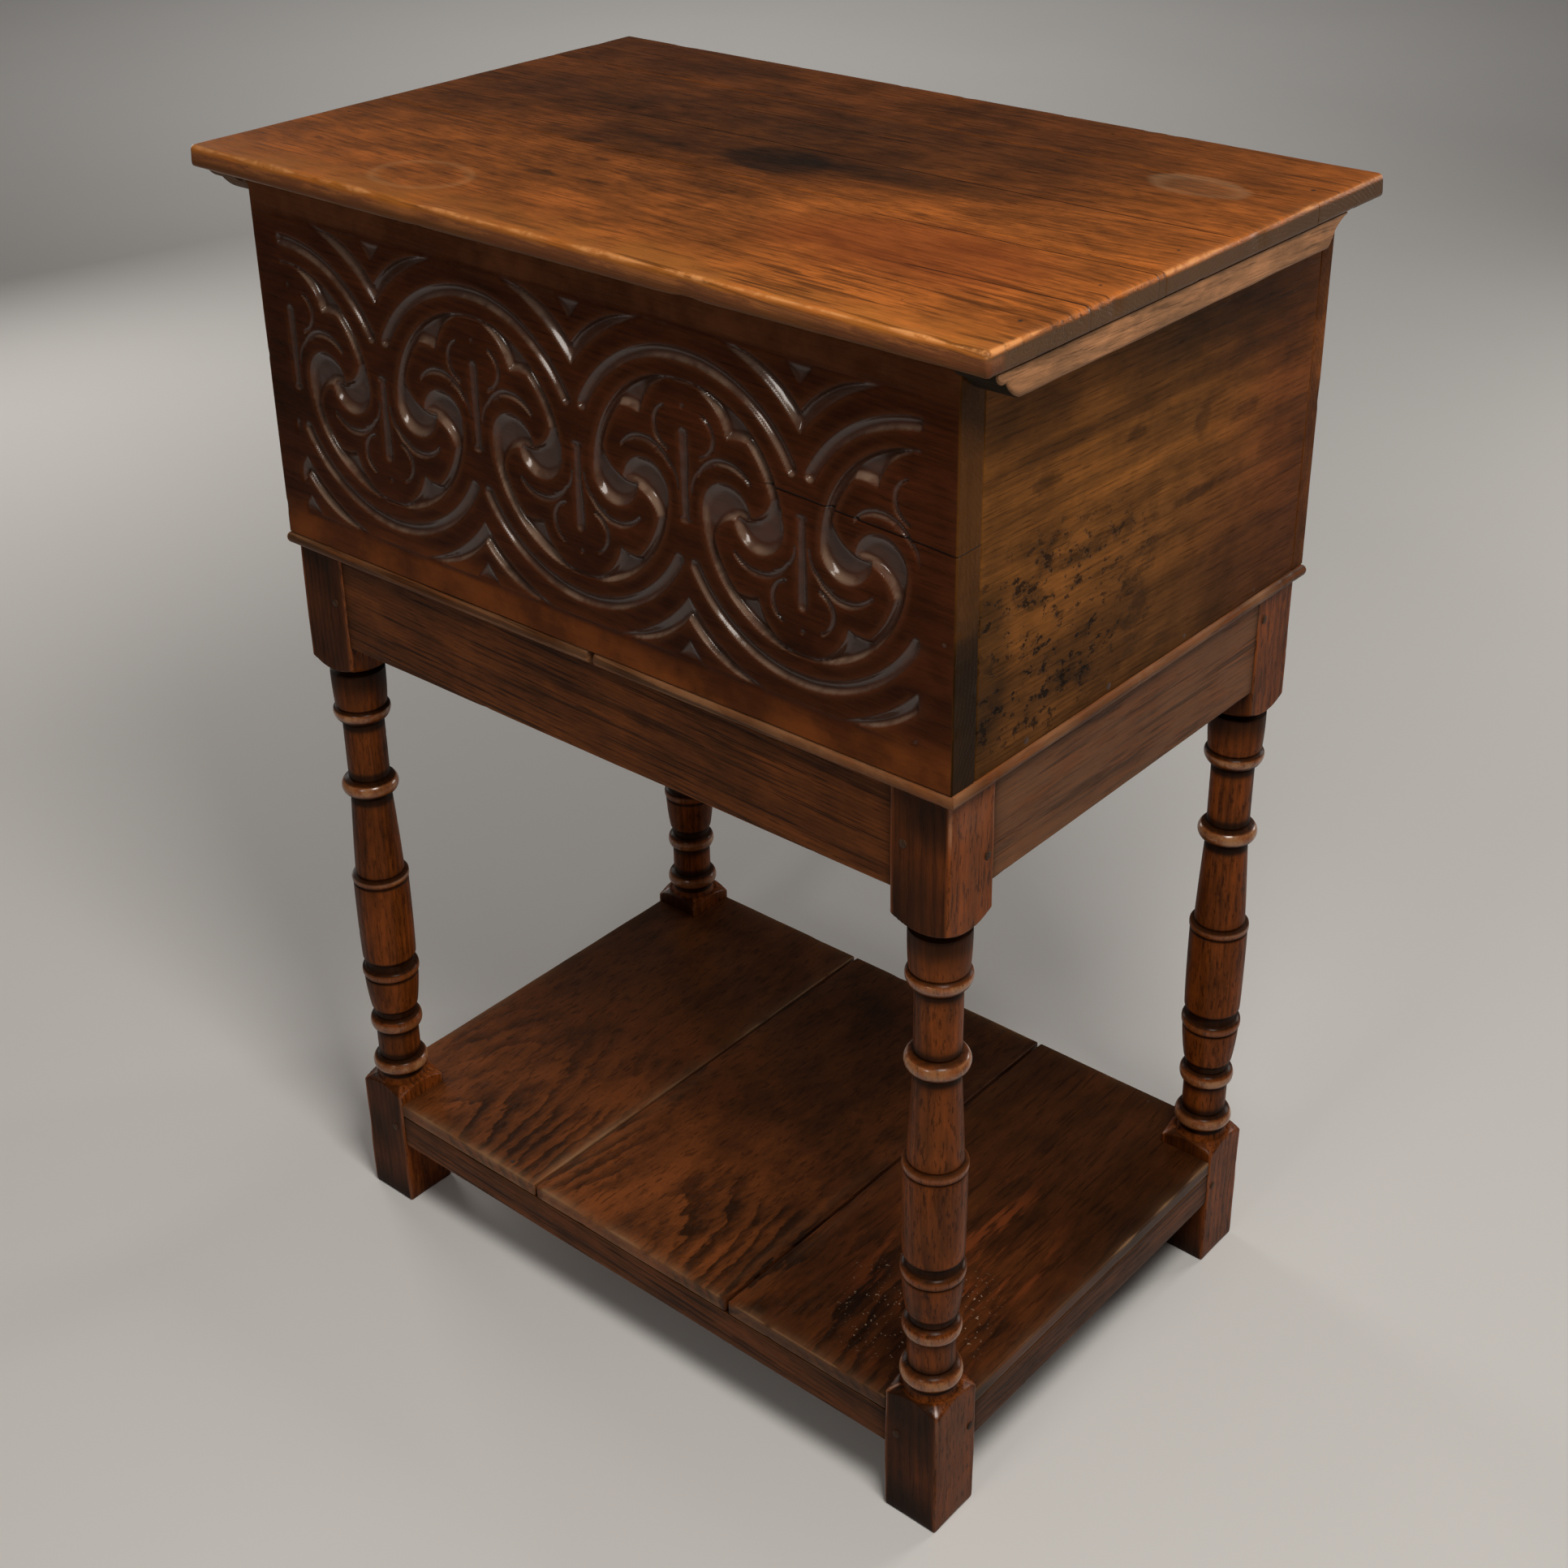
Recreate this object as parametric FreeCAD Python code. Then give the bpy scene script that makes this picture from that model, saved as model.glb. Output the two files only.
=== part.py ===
import FreeCAD, Part
import math
import os

# Bible box with a hinged lid, standing on an oak stand with four turned legs and a low shelf.
# Lengths are millimetres. The drawing is centred on the stand, with its front towards minus Y
# and the floor at zero height. Each piece is moved to the finished frame when it is saved.

# Overall sizes: the lid's width and the box's depth set the plan of everything below them
lid_width = 762.0
box_depth = 470.0
frame_height = 680.0
lid_end_overhang = 37.0
box_end_overhang = 4.0
box_face_overhang = 5.0
box_width = lid_width - 2 * lid_end_overhang
stand_width = box_width - 2 * box_end_overhang
stand_depth = box_depth - 2 * box_face_overhang

# Stand frame: four legs, four aprons at the top and four stretchers near the floor
leg_size = 52.0
apron_height = 84.0
apron_thickness = 21.0
stretcher_lift = 68.0
stretcher_height = 33.0
stretcher_thickness = 21.0
rail_setback = 1.0

# Mortise and tenon joints, each held by a peg through the leg
tenon_thickness = 9.0
tenon_length = 22.0
tenon_inset = 8.0
apron_tenon_shoulder = 10.0
stretcher_tenon_shoulder = 5.0
mortise_end_gap = 1.0
cut_overrun = 1.0
joint_play = 0.15
peg_diameter = 7.0
peg_tip_diameter = 6.0
peg_length = 30.0
peg_proud = 1.0
face_peg_inset = 12.0
side_peg_inset = 8.0
face_peg_drop = 44.0
front_side_peg_drop = 59.0
back_side_peg_drop = 21.0

# Square blocks of a leg, with sloping shoulders where the turning starts
lower_block_height = 129.0
upper_block_height = 112.0
shoulder_drop = 8.0
shoulder_bulge = 1.2
shoulder_diameter = 50.0

# Turned members of a leg from the lower block up; the taper takes the height that is left
foot_cove_height = 9.5
foot_cove_flare_diameter = 46.0
foot_cove_diameter = 41.0
foot_ring_height = 15.0
foot_ring_diameter = 51.0
low_neck_height = 31.0
low_neck_diameter = 39.0
vase_ring_height = 15.0
vase_ring_diameter = 48.0
vase_cove_height = 8.0
vase_cove_diameter = 38.5
vase_height = 37.0
vase_foot_diameter = 41.5
vase_belly_diameter = 47.0
vase_top_diameter = 49.0
sharp_ring_height = 10.0
sharp_ring_diameter = 52.0
groove_height = 9.0
groove_edge_diameter = 46.0
groove_diameter = 43.0
drum_height = 83.0
drum_foot_diameter = 48.5
drum_diameter = 50.0
drum_top_diameter = 49.5
lip_height = 8.0
lip_diameter = 51.5
taper_foot_diameter = 44.0
taper_middle_diameter = 40.5
taper_top_diameter = 36.0
waist_ring_height = 16.0
waist_ring_diameter = 50.5
neck_height = 58.0
neck_diameter = 36.5
top_ring_height = 14.0
top_ring_diameter = 49.5
cap_height = 37.0
cap_groove_diameter = 44.5
cap_diameter = 47.0

# Shelf of three boards, laid front to back over the stretchers
shelf_thickness = 14.0
shelf_joint_gap = 2.5
left_shelf_board_width = 230.0
right_shelf_board_width = 221.0
shelf_edge_radius = 2.5
shelf_notch_play = 0.5

# Moulding strips mitred round the top of the stand
moulding_thickness = 11.0
moulding_overhang = 7.0
moulding_width = 30.0
moulding_nose = 3.5
mitre_gap = 0.2

# Box
box_height = 307.0
front_board_thickness = 26.0
side_board_thickness = 18.0
back_board_thickness = 18.0
bottom_board_thickness = 12.0
bottom_joint_gap = 1.0

# Lid of three boards, held together by a moulded cleat under each end
lid_thickness = 18.0
lid_front_overhang = 24.0
lid_back_setback = 3.0
lid_rest_gap = 0.4
front_lid_board_width = 193.5
back_lid_board_width = 98.0
lid_joint_gap = 0.6
lid_edge_radius = 6.0
lid_under_radius = 4.0
lid_corner_radius = 8.0
cleat_height = 23.0
cleat_side_gap = 1.0
cleat_end_setback = 2.0
cleat_front_setback = 4.0
cleat_back_setback = 50.0
cleat_lobe_reach = 10.0
cleat_lobe_height = 10.5
cleat_ogee_reach = 25.0
cleat_toe_bulge = 1.6
cleat_cove_reach = 24.0
cleat_cove_depth = 4.0
cleat_round = 5.0

# A pair of iron butt hinges with their barrels behind the box
hinge_length = 60.0
hinge_inset = 114.0
leaf_thickness = 2.0
leaf_depth = 16.0
knuckle_diameter = 8.0
knuckle_count = 3
knuckle_gap = 0.3
barrel_gap = 0.5
pin_diameter = 3.6
pin_play = 0.05
pin_head_diameter = 6.0
pin_head_thickness = 1.2

# Nails, brads and their places
nail_diameter = 2.8
nail_head_diameter = 6.5
nail_head_depth = 3.0
nail_sink = 0.2
nail_play = 0.1
case_nail_length = 52.0
bottom_nail_length = 44.0
shelf_nail_length = 38.0
cleat_nail_length = 34.0
shelf_nail_inset = 38.0
brad_diameter = 2.0
brad_length = 34.0
hinge_nail_diameter = 2.4
hinge_nail_head_diameter = 4.6
box_hinge_nail_length = 26.0
lid_hinge_nail_length = 14.0
case_nail_shares = (0.068, 0.36, 0.64, 0.932)
bottom_nail_shares = (0.14, 0.38, 0.62, 0.86)
brad_shares = (0.12, 0.5, 0.88)
front_cleat_nail_shares = (0.3, 0.75)
middle_cleat_nail_shares = (0.22, 0.78)
back_cleat_nail_share = 0.25
hinge_nail_shares = (0.16, 0.5, 0.84)
hinge_nail_depth_share = 0.42

# Shape of the lobe at the front end of a cleat, as shares of its reach and height
lobe_bend_reach_share = 0.12
lobe_bend_drop_share = 0.72

# Levels and faces worked out from the sizes above
apron_base = frame_height - apron_height
stretcher_top = stretcher_lift + stretcher_height
shelf_top = stretcher_top + shelf_thickness
box_base = frame_height + moulding_thickness
box_top = box_base + box_height
lid_base = box_top + lid_rest_gap
lid_top = lid_base + lid_thickness
leg_face_x = stand_width / 2
leg_face_y = stand_depth / 2
leg_inner_x = leg_face_x - leg_size
leg_inner_y = leg_face_y - leg_size
box_side_x = box_width / 2
box_face_y = box_depth / 2
box_inner_x = box_side_x - side_board_thickness
lid_end_x = lid_width / 2
lid_front_y = -box_face_y - lid_front_overhang
lid_back_y = box_face_y - lid_back_setback
hinge_spacing = box_width - 2 * hinge_inset
pin_y = box_face_y + barrel_gap + knuckle_diameter / 2
pin_z = box_top + lid_rest_gap / 2
hinge_back_y = pin_y + knuckle_diameter / 2
frame_shift_y = -(lid_front_y + hinge_back_y) / 2

up = FreeCAD.Vector(0, 0, 1)
down = FreeCAD.Vector(0, 0, -1)
centre = FreeCAD.Vector(0, 0, 0)
left_to_right = FreeCAD.Vector(1, 0, 0)
front_to_back = FreeCAD.Vector(0, 1, 0)


def point(x, y, z):
    return FreeCAD.Vector(x, y, z)


def block(x_from, x_to, y_from, y_to, z_from, z_to):
    """Rectangular solid between two opposite corners."""
    return Part.makeBox(x_to - x_from, y_to - y_from, z_to - z_from, point(x_from, y_from, z_from))


def rod(diameter, length, start, direction):
    return Part.makeCylinder(diameter / 2, length, start, direction)


def mirrored(shape, normal):
    """Copy of a shape on the other side of the stand's middle plane with this normal."""
    return shape.mirror(centre, normal)


def one_solid(shape):
    """The single solid in the result of a cut or fuse."""
    solids = shape.removeSplitter().Solids
    if len(solids) != 1:
        raise ValueError("expected one solid, found %d" % len(solids))
    return solids[0]


def save(name, shape):
    """Move a piece to the finished frame, centred under the whole object, and write it."""
    piece = shape.copy()
    piece.translate(point(0, frame_shift_y, 0))
    piece.exportStep(os.path.join("parts", name + ".step"))


def save_group(name, solids):
    save(name, Part.makeCompound(solids))


# Legs

def shoulder_outline(height):
    """Half section of a block whose top slopes in to the turning."""
    reach = leg_size / math.sqrt(2) + cut_overrun
    rim = point(reach, 0, height - shoulder_drop)
    crown = point(shoulder_diameter / 2, 0, height)
    middle = (rim + crown) / 2 + point(shoulder_bulge, 0, shoulder_bulge)
    return Part.Wire([
        Part.makeLine(centre, point(reach, 0, 0)),
        Part.makeLine(point(reach, 0, 0), rim),
        Part.Arc(rim, middle, crown).toShape(),
        Part.makeLine(crown, point(0, 0, height)),
        Part.makeLine(point(0, 0, height), centre),
    ])


def leg_block(height):
    """Square block standing on the floor, with its shoulders at the top."""
    half = leg_size / 2
    turned = Part.Face(shoulder_outline(height)).revolve(centre, up)
    return block(-half, half, -half, half, 0, height).common(turned)


def turned_members():
    """Height of each member and its diameter at foot, middle and top, from the lower block up."""
    rows = [
        (foot_cove_height, foot_cove_flare_diameter, foot_cove_diameter, foot_cove_diameter),
        (foot_ring_height, foot_cove_diameter, foot_ring_diameter, low_neck_diameter),
        (low_neck_height, low_neck_diameter, low_neck_diameter, low_neck_diameter),
        (vase_ring_height, low_neck_diameter, vase_ring_diameter, vase_cove_diameter),
        (vase_cove_height, vase_cove_diameter, vase_cove_diameter, vase_cove_diameter),
        (vase_height, vase_foot_diameter, vase_belly_diameter, vase_top_diameter),
        (sharp_ring_height, vase_top_diameter, sharp_ring_diameter, vase_top_diameter),
        (groove_height, groove_edge_diameter, groove_diameter, groove_edge_diameter),
        (drum_height, drum_foot_diameter, drum_diameter, drum_top_diameter),
        (lip_height, drum_top_diameter, lip_diameter, drum_top_diameter),
        None,
        (waist_ring_height, taper_top_diameter, waist_ring_diameter, neck_diameter),
        (neck_height, neck_diameter, neck_diameter, neck_diameter),
        (top_ring_height, neck_diameter, top_ring_diameter, cap_groove_diameter),
        (cap_height, cap_groove_diameter, cap_diameter, cap_diameter),
    ]
    used = sum(row[0] for row in rows if row)
    taper_height = frame_height - lower_block_height - upper_block_height - used
    taper = (taper_height, taper_foot_diameter, taper_middle_diameter, taper_top_diameter)
    return [row if row else taper for row in rows]


def turning():
    """Turned stretch between the two blocks of a leg."""
    edges = []
    level = lower_block_height
    here = point(0, 0, level)
    for height, foot, middle, top in turned_members():
        start = point(foot / 2, 0, level)
        bend = point(middle / 2, 0, level + height / 2)
        end = point(top / 2, 0, level + height)
        if start != here:
            edges.append(Part.makeLine(here, start))
        straight = foot + top == middle + middle
        edge = Part.makeLine(start, end) if straight else Part.Arc(start, bend, end).toShape()
        edges.append(edge)
        here = end
        level += height
    axis_top = point(0, 0, level)
    edges.append(Part.makeLine(here, axis_top))
    edges.append(Part.makeLine(axis_top, point(0, 0, lower_block_height)))
    return Part.Face(Part.Wire(edges)).revolve(centre, up)


def front_right_leg(peg_holes):
    """Leg with its four mortises and its peg holes."""
    lower = leg_block(lower_block_height)
    upper = leg_block(upper_block_height)
    upper.rotate(centre, left_to_right, 180)
    upper.translate(point(0, 0, frame_height))
    leg = lower.fuse([turning(), upper])
    leg.translate(point(leg_face_x - leg_size / 2, -leg_face_y + leg_size / 2, 0))
    mortises = []
    for base, height, shoulder in rail_levels():
        play = joint_play
        depth = tenon_length + mortise_end_gap
        z_from = base + shoulder - play
        z_to = base + height - shoulder + play
        cheek_y = -leg_face_y + tenon_inset
        cheek_x = leg_face_x - tenon_inset
        mortises.append(block(leg_inner_x - cut_overrun, leg_inner_x + depth,
                              cheek_y - play, cheek_y + tenon_thickness + play, z_from, z_to))
        mortises.append(block(cheek_x - tenon_thickness - play, cheek_x + play,
                              -leg_inner_y - depth, -leg_inner_y + cut_overrun, z_from, z_to))
    return one_solid(leg.cut(mortises + peg_holes))


# Rails: aprons and stretchers

def rail_levels():
    """Underside, height and tenon shoulder of the apron and of the stretcher."""
    return [
        (apron_base, apron_height, apron_tenon_shoulder),
        (stretcher_lift, stretcher_height, stretcher_tenon_shoulder),
    ]


def rail(span, reach, thickness, level):
    """Rail across the front of a stand of this span, its legs' faces this far from the middle."""
    base, height, shoulder = level
    inner = span / 2 - leg_size
    face = -reach + rail_setback
    cheek = -reach + tenon_inset
    bar = block(-inner, inner, face, face + thickness, base, base + height)
    tenons = block(-inner - tenon_length, inner + tenon_length, cheek, cheek + tenon_thickness,
                   base + shoulder, base + height - shoulder)
    return bar.fuse(tenons)


def front_rail(thickness, level):
    return rail(stand_width, leg_face_y, thickness, level)


def right_rail(thickness, level):
    bar = rail(stand_depth, leg_face_x, thickness, level)
    bar.rotate(centre, up, 90)
    return bar


# Pegs

def peg_places(face_height, side_heights):
    """Start point and direction of the pegs at the four corners, two for each leg."""
    places = []
    for side in (-1, 1):
        for end, side_height in zip((-1, 1), side_heights):
            x = side * (leg_inner_x + face_peg_inset)
            y = end * (leg_inner_y + side_peg_inset)
            places.append((point(x, end * (leg_face_y + peg_proud), face_height), point(0, -end, 0)))
            places.append((point(side * (leg_face_x + peg_proud), y, side_height), point(-side, 0, 0)))
    return places


def apron_peg_places():
    heights = (frame_height - front_side_peg_drop, frame_height - back_side_peg_drop)
    return peg_places(frame_height - face_peg_drop, heights)


def stretcher_peg_places():
    middle = stretcher_lift + stretcher_height / 2
    return peg_places(middle, (middle, middle))


def peg(place):
    start, direction = place
    return Part.makeCone(peg_diameter / 2, peg_tip_diameter / 2, peg_length, start, direction)


def peg_hole(place):
    start, direction = place
    return rod(peg_diameter + 2 * joint_play, peg_length + mortise_end_gap, start, direction)


# Shelf

def shelf_slab(nail_holes):
    """The shelf as one slab with eased edges, notched round the leg blocks."""
    x = leg_face_x - rail_setback
    y = leg_face_y - rail_setback
    slab = block(-x, x, -y, y, stretcher_top, shelf_top)
    rim = [edge for edge in slab.Edges
           if edge.BoundBox.ZMin > stretcher_top + shelf_thickness / 2]
    slab = slab.makeFillet(shelf_edge_radius, rim)
    notches = []
    for side in (-1, 1):
        for end in (-1, 1):
            notch = block(leg_inner_x - shelf_notch_play, stand_width,
                          leg_inner_y - shelf_notch_play, stand_depth, 0, frame_height)
            notch = mirrored(notch, left_to_right) if side < 0 else notch
            notch = mirrored(notch, front_to_back) if end < 0 else notch
            notches.append(notch)
    return slab.cut(notches + nail_holes)


def shelf_board_spans():
    """From and to across the width, for the left, middle and right boards."""
    x = leg_face_x - rail_setback
    left_end = -leg_face_x + left_shelf_board_width
    right_start = leg_face_x - right_shelf_board_width
    half_gap = shelf_joint_gap / 2
    return [
        ("shelf_board_left", -x, left_end - half_gap),
        ("shelf_board_middle", left_end + half_gap, right_start - half_gap),
        ("shelf_board_right", right_start + half_gap, x),
    ]


def shelf_nail_places():
    """Two nails at each end of each board, into the front and back stretchers."""
    places = []
    y = leg_face_y - rail_setback - stretcher_thickness / 2
    for name, x_from, x_to in shelf_board_spans():
        inset_from = shelf_nail_inset + (leg_size if x_from < -leg_inner_x else 0)
        inset_to = shelf_nail_inset + (leg_size if x_to > leg_inner_x else 0)
        for x in (x_from + inset_from, x_to - inset_to):
            for end in (-1, 1):
                places.append((point(x, end * y, shelf_top), down))
    return places


# Moulding

def moulding_strip(span, reach):
    """Strip along the front of the stand with a rounded nose and mitred ends."""
    outer = -reach - moulding_overhang
    inner = outer + moulding_width
    base = frame_height
    top = frame_height + moulding_thickness
    half = span / 2 + moulding_overhang
    section = Part.Wire([
        Part.makeLine(point(-half, inner, base), point(-half, inner, top)),
        Part.makeLine(point(-half, inner, top), point(-half, outer + moulding_nose, top)),
        Part.Arc(point(-half, outer + moulding_nose, top), point(-half, outer, (base + top) / 2),
                 point(-half, outer + moulding_nose, base)).toShape(),
        Part.makeLine(point(-half, outer + moulding_nose, base), point(-half, inner, base)),
    ])
    strip = Part.Face(section).extrude(point(2 * half, 0, 0))
    tip = half - mitre_gap / 2
    heel = tip - moulding_width
    corners = [(-tip, outer), (tip, outer), (heel, inner), (-heel, inner), (-tip, outer)]
    plan = Part.makePolygon([point(x, y, base) for x, y in corners])
    return strip.common(Part.Face(plan).extrude(point(0, 0, moulding_thickness)))


def brad_places(span, reach):
    """Brads through the front strip into the apron below it."""
    inner = span / 2 - leg_size
    y = -reach + rail_setback + apron_thickness / 2
    return [(point(-inner + share * 2 * inner, y, box_base), down) for share in brad_shares]


# Nails

def sunk_nail(place, length, diameter, head_diameter, head_depth):
    """Nail with a tapered head sunk just below the surface."""
    start, direction = place
    seat = start + direction * nail_sink
    shank = rod(diameter, length, seat, direction)
    head = Part.makeCone(head_diameter / 2, diameter / 2, head_depth, seat, direction)
    return one_solid(shank.fuse(head))


def sunk_nail_hole(place, length, diameter, head_diameter, head_depth):
    """Room for a sunk nail, open at the surface."""
    start, direction = place
    wide = head_diameter + 2 * nail_play
    narrow = diameter + 2 * nail_play
    seat = start + direction * nail_sink
    shank = rod(narrow, length + cut_overrun, seat, direction)
    head = Part.makeCone(wide / 2, narrow / 2, head_depth, seat, direction)
    return one_solid(rod(wide, nail_sink, start, direction).fuse([head, shank]))


def nail(place, length):
    return sunk_nail(place, length, nail_diameter, nail_head_diameter, nail_head_depth)


def nail_hole(place, length):
    return sunk_nail_hole(place, length, nail_diameter, nail_head_diameter, nail_head_depth)


def brad(place):
    start, direction = place
    return rod(brad_diameter, brad_length, start, direction)


def brad_hole(place):
    start, direction = place
    return rod(brad_diameter + 2 * nail_play, brad_length + nail_play, start, direction)


# Box

def case_nail_places(face_y, direction):
    """Nails through the front or back board into the ends of the side boards."""
    x = box_side_x - side_board_thickness / 2
    places = []
    for side in (-1, 1):
        for share in case_nail_shares:
            places.append((point(side * x, face_y, box_base + share * box_height), direction))
    return places


def bottom_nail_places():
    """Nails through the side boards into the edges of the bottom boards."""
    z = box_base + bottom_board_thickness / 2
    y_from = -box_face_y + front_board_thickness
    length = box_depth - front_board_thickness - back_board_thickness
    places = []
    for side in (-1, 1):
        for share in bottom_nail_shares:
            places.append((point(side * box_side_x, y_from + share * length, z), point(-side, 0, 0)))
    return places


def box_boards():
    """Name and plain solid of each board of the box."""
    inner_front = -box_face_y + front_board_thickness
    inner_back = box_face_y - back_board_thickness
    joint = (inner_front + inner_back) / 2
    half_gap = bottom_joint_gap / 2
    bottom_top = box_base + bottom_board_thickness
    return {
        "box_front": block(-box_side_x, box_side_x, -box_face_y, inner_front, box_base, box_top),
        "box_back": block(-box_side_x, box_side_x, inner_back, box_face_y, box_base, box_top),
        "box_side_left": block(-box_side_x, -box_inner_x, inner_front, inner_back, box_base, box_top),
        "box_side_right": block(box_inner_x, box_side_x, inner_front, inner_back, box_base, box_top),
        "box_bottom_front": block(-box_inner_x, box_inner_x, inner_front, joint - half_gap,
                                  box_base, bottom_top),
        "box_bottom_back": block(-box_inner_x, box_inner_x, joint + half_gap, inner_back,
                                 box_base, bottom_top),
    }


# Lid

def lid_slab():
    """The lid as one slab with rounded corners and edges."""
    slab = block(-lid_end_x, lid_end_x, lid_front_y, lid_back_y, lid_base, lid_top)
    corners = [edge for edge in slab.Edges if edge.BoundBox.ZLength > lid_thickness / 2]
    slab = slab.makeFillet(lid_corner_radius, corners)
    middle = (lid_base + lid_top) / 2
    upper = [edge for edge in slab.Edges if edge.BoundBox.ZMin > middle]
    slab = slab.makeFillet(lid_edge_radius, upper)
    lower = [edge for edge in slab.Edges
             if edge.BoundBox.ZMax < middle and edge.BoundBox.ZLength < lid_edge_radius]
    return slab.makeFillet(lid_under_radius, lower)


def lid_board_spans():
    """From and to across the depth, for the front, middle and back boards."""
    front_joint = lid_front_y + front_lid_board_width
    back_joint = lid_back_y - back_lid_board_width
    half_gap = lid_joint_gap / 2
    return {
        "lid_board_front": (lid_front_y, front_joint - half_gap),
        "lid_board_middle": (front_joint + half_gap, back_joint - half_gap),
        "lid_board_back": (back_joint + half_gap, lid_back_y),
    }


def lid_board(slab, span):
    y_from, y_to = span
    window = block(-lid_width, lid_width, y_from, y_to, box_base, lid_top + lid_thickness)
    return slab.common(window)


def cleat_side_outline(x, y_front, y_back):
    """Cleat seen from the side: an ogee at the front end and a cove at the back end."""
    top = lid_base
    base = lid_base - cleat_height
    lobe_end = point(x, y_front + cleat_lobe_reach, top - cleat_lobe_height)
    lobe_bend = point(x, y_front + cleat_lobe_reach * lobe_bend_reach_share,
                      top - cleat_lobe_height * lobe_bend_drop_share)
    toe = point(x, y_front + cleat_ogee_reach, base)
    toe_bend = (lobe_end + toe) / 2 + point(0, -cleat_toe_bulge, -cleat_toe_bulge)
    heel = point(x, y_back - cleat_cove_reach, base)
    corner = point(x, y_back, top)
    cove_bend = (heel + corner) / 2 + point(0, -cleat_cove_depth, cleat_cove_depth)
    return Part.Wire([
        Part.makeLine(corner, point(x, y_front, top)),
        Part.Arc(point(x, y_front, top), lobe_bend, lobe_end).toShape(),
        Part.Arc(lobe_end, toe_bend, toe).toShape(),
        Part.makeLine(toe, heel),
        Part.Arc(heel, cove_bend, corner).toShape(),
    ])


def right_cleat():
    """Moulded batten under the right end of the lid, clear of the box side."""
    x_from = box_side_x + cleat_side_gap
    x_to = lid_end_x - cleat_end_setback
    y_front = lid_front_y + cleat_front_setback
    y_back = lid_back_y - cleat_back_setback
    side = cleat_side_outline(x_from, y_front, y_back)
    batten = Part.Face(side).extrude(point(x_to - x_from, 0, 0))
    base = lid_base - cleat_height
    bevel_z = base + cleat_round
    bevel_x = x_to - cleat_round
    bend = point(bevel_x + cleat_round * math.sqrt(2) / 2, y_front,
                 bevel_z - cleat_round * math.sqrt(2) / 2)
    section = Part.Wire([
        Part.makeLine(point(x_from, y_front, base), point(x_from, y_front, lid_base)),
        Part.makeLine(point(x_from, y_front, lid_base), point(x_to, y_front, lid_base)),
        Part.makeLine(point(x_to, y_front, lid_base), point(x_to, y_front, bevel_z)),
        Part.Arc(point(x_to, y_front, bevel_z), bend, point(bevel_x, y_front, base)).toShape(),
        Part.makeLine(point(bevel_x, y_front, base), point(x_from, y_front, base)),
    ])
    return batten.common(Part.Face(section).extrude(point(0, y_back - y_front, 0)))


def cleat_nail_places():
    """Nails from the top of the lid down into both cleats."""
    spans = lid_board_spans()
    shares = {
        "lid_board_front": front_cleat_nail_shares,
        "lid_board_middle": middle_cleat_nail_shares,
        "lid_board_back": (back_cleat_nail_share,),
    }
    x = (box_side_x + cleat_side_gap + lid_end_x - cleat_end_setback) / 2
    places = []
    for name, (y_from, y_to) in spans.items():
        for share in shares[name]:
            for side in (-1, 1):
                places.append((point(side * x, y_from + share * (y_to - y_from), lid_top), down))
    return places


# Hinges

def hinge_centres():
    return [-hinge_spacing / 2, hinge_spacing / 2]


def hinge_leaf(x, is_lid):
    """Leaf with its share of the knuckles: flat plate, webs and bored barrel."""
    z_from = lid_base if is_lid else box_top - leaf_thickness
    z_to = z_from + leaf_thickness
    start = x - hinge_length / 2
    plate = block(start, start + hinge_length, box_face_y - leaf_depth, box_face_y, z_from, z_to)
    pitch = hinge_length / knuckle_count
    parts = []
    for index in range(knuckle_count):
        belongs_to_lid = index % 2 == 1
        if belongs_to_lid == is_lid:
            x_from = start + index * pitch + knuckle_gap / 2
            length = pitch - knuckle_gap
            parts.append(block(x_from, x_from + length, box_face_y, pin_y, z_from, z_to))
            parts.append(rod(knuckle_diameter, length, point(x_from, pin_y, pin_z), left_to_right))
    bore = rod(pin_diameter + 2 * pin_play, hinge_length, point(start, pin_y, pin_z), left_to_right)
    nail_length = lid_hinge_nail_length if is_lid else box_hinge_nail_length
    holes = [hinge_nail_hole(place, nail_length) for place in hinge_nail_places(x, is_lid)]
    return one_solid(plate.fuse(parts).cut([bore] + holes))


def hinge_pin(x):
    """Pin with a flat head at each end."""
    start = x - hinge_length / 2
    shank = rod(pin_diameter, hinge_length, point(start, pin_y, pin_z), left_to_right)
    near = rod(pin_head_diameter, pin_head_thickness,
               point(start - pin_head_thickness, pin_y, pin_z), left_to_right)
    far = rod(pin_head_diameter, pin_head_thickness,
              point(start + hinge_length, pin_y, pin_z), left_to_right)
    return one_solid(shank.fuse([near, far]))


def leaf_recess(x, is_lid):
    """Room for a leaf in the underside of the lid or in the top edge of the back board."""
    z_from = lid_base - lid_rest_gap if is_lid else box_top - leaf_thickness
    z_to = lid_base + leaf_thickness if is_lid else box_top + lid_rest_gap
    half = hinge_length / 2 + joint_play
    return block(x - half, x + half, box_face_y - leaf_depth - joint_play, box_face_y + barrel_gap,
                 z_from, z_to)


def hinge_nail_places(x, is_lid):
    """Nail places on the open face of a leaf."""
    y = box_face_y - leaf_depth * (1 - hinge_nail_depth_share)
    z = lid_base if is_lid else box_top
    direction = up if is_lid else down
    start = x - hinge_length / 2
    return [(point(start + share * hinge_length, y, z), direction) for share in hinge_nail_shares]


def hinge_nail(place, length):
    depth = leaf_thickness - 2 * nail_sink
    return sunk_nail(place, length, hinge_nail_diameter, hinge_nail_head_diameter, depth)


def hinge_nail_hole(place, length):
    depth = leaf_thickness - 2 * nail_sink
    return sunk_nail_hole(place, length, hinge_nail_diameter, hinge_nail_head_diameter, depth)


# Making and saving

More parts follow.
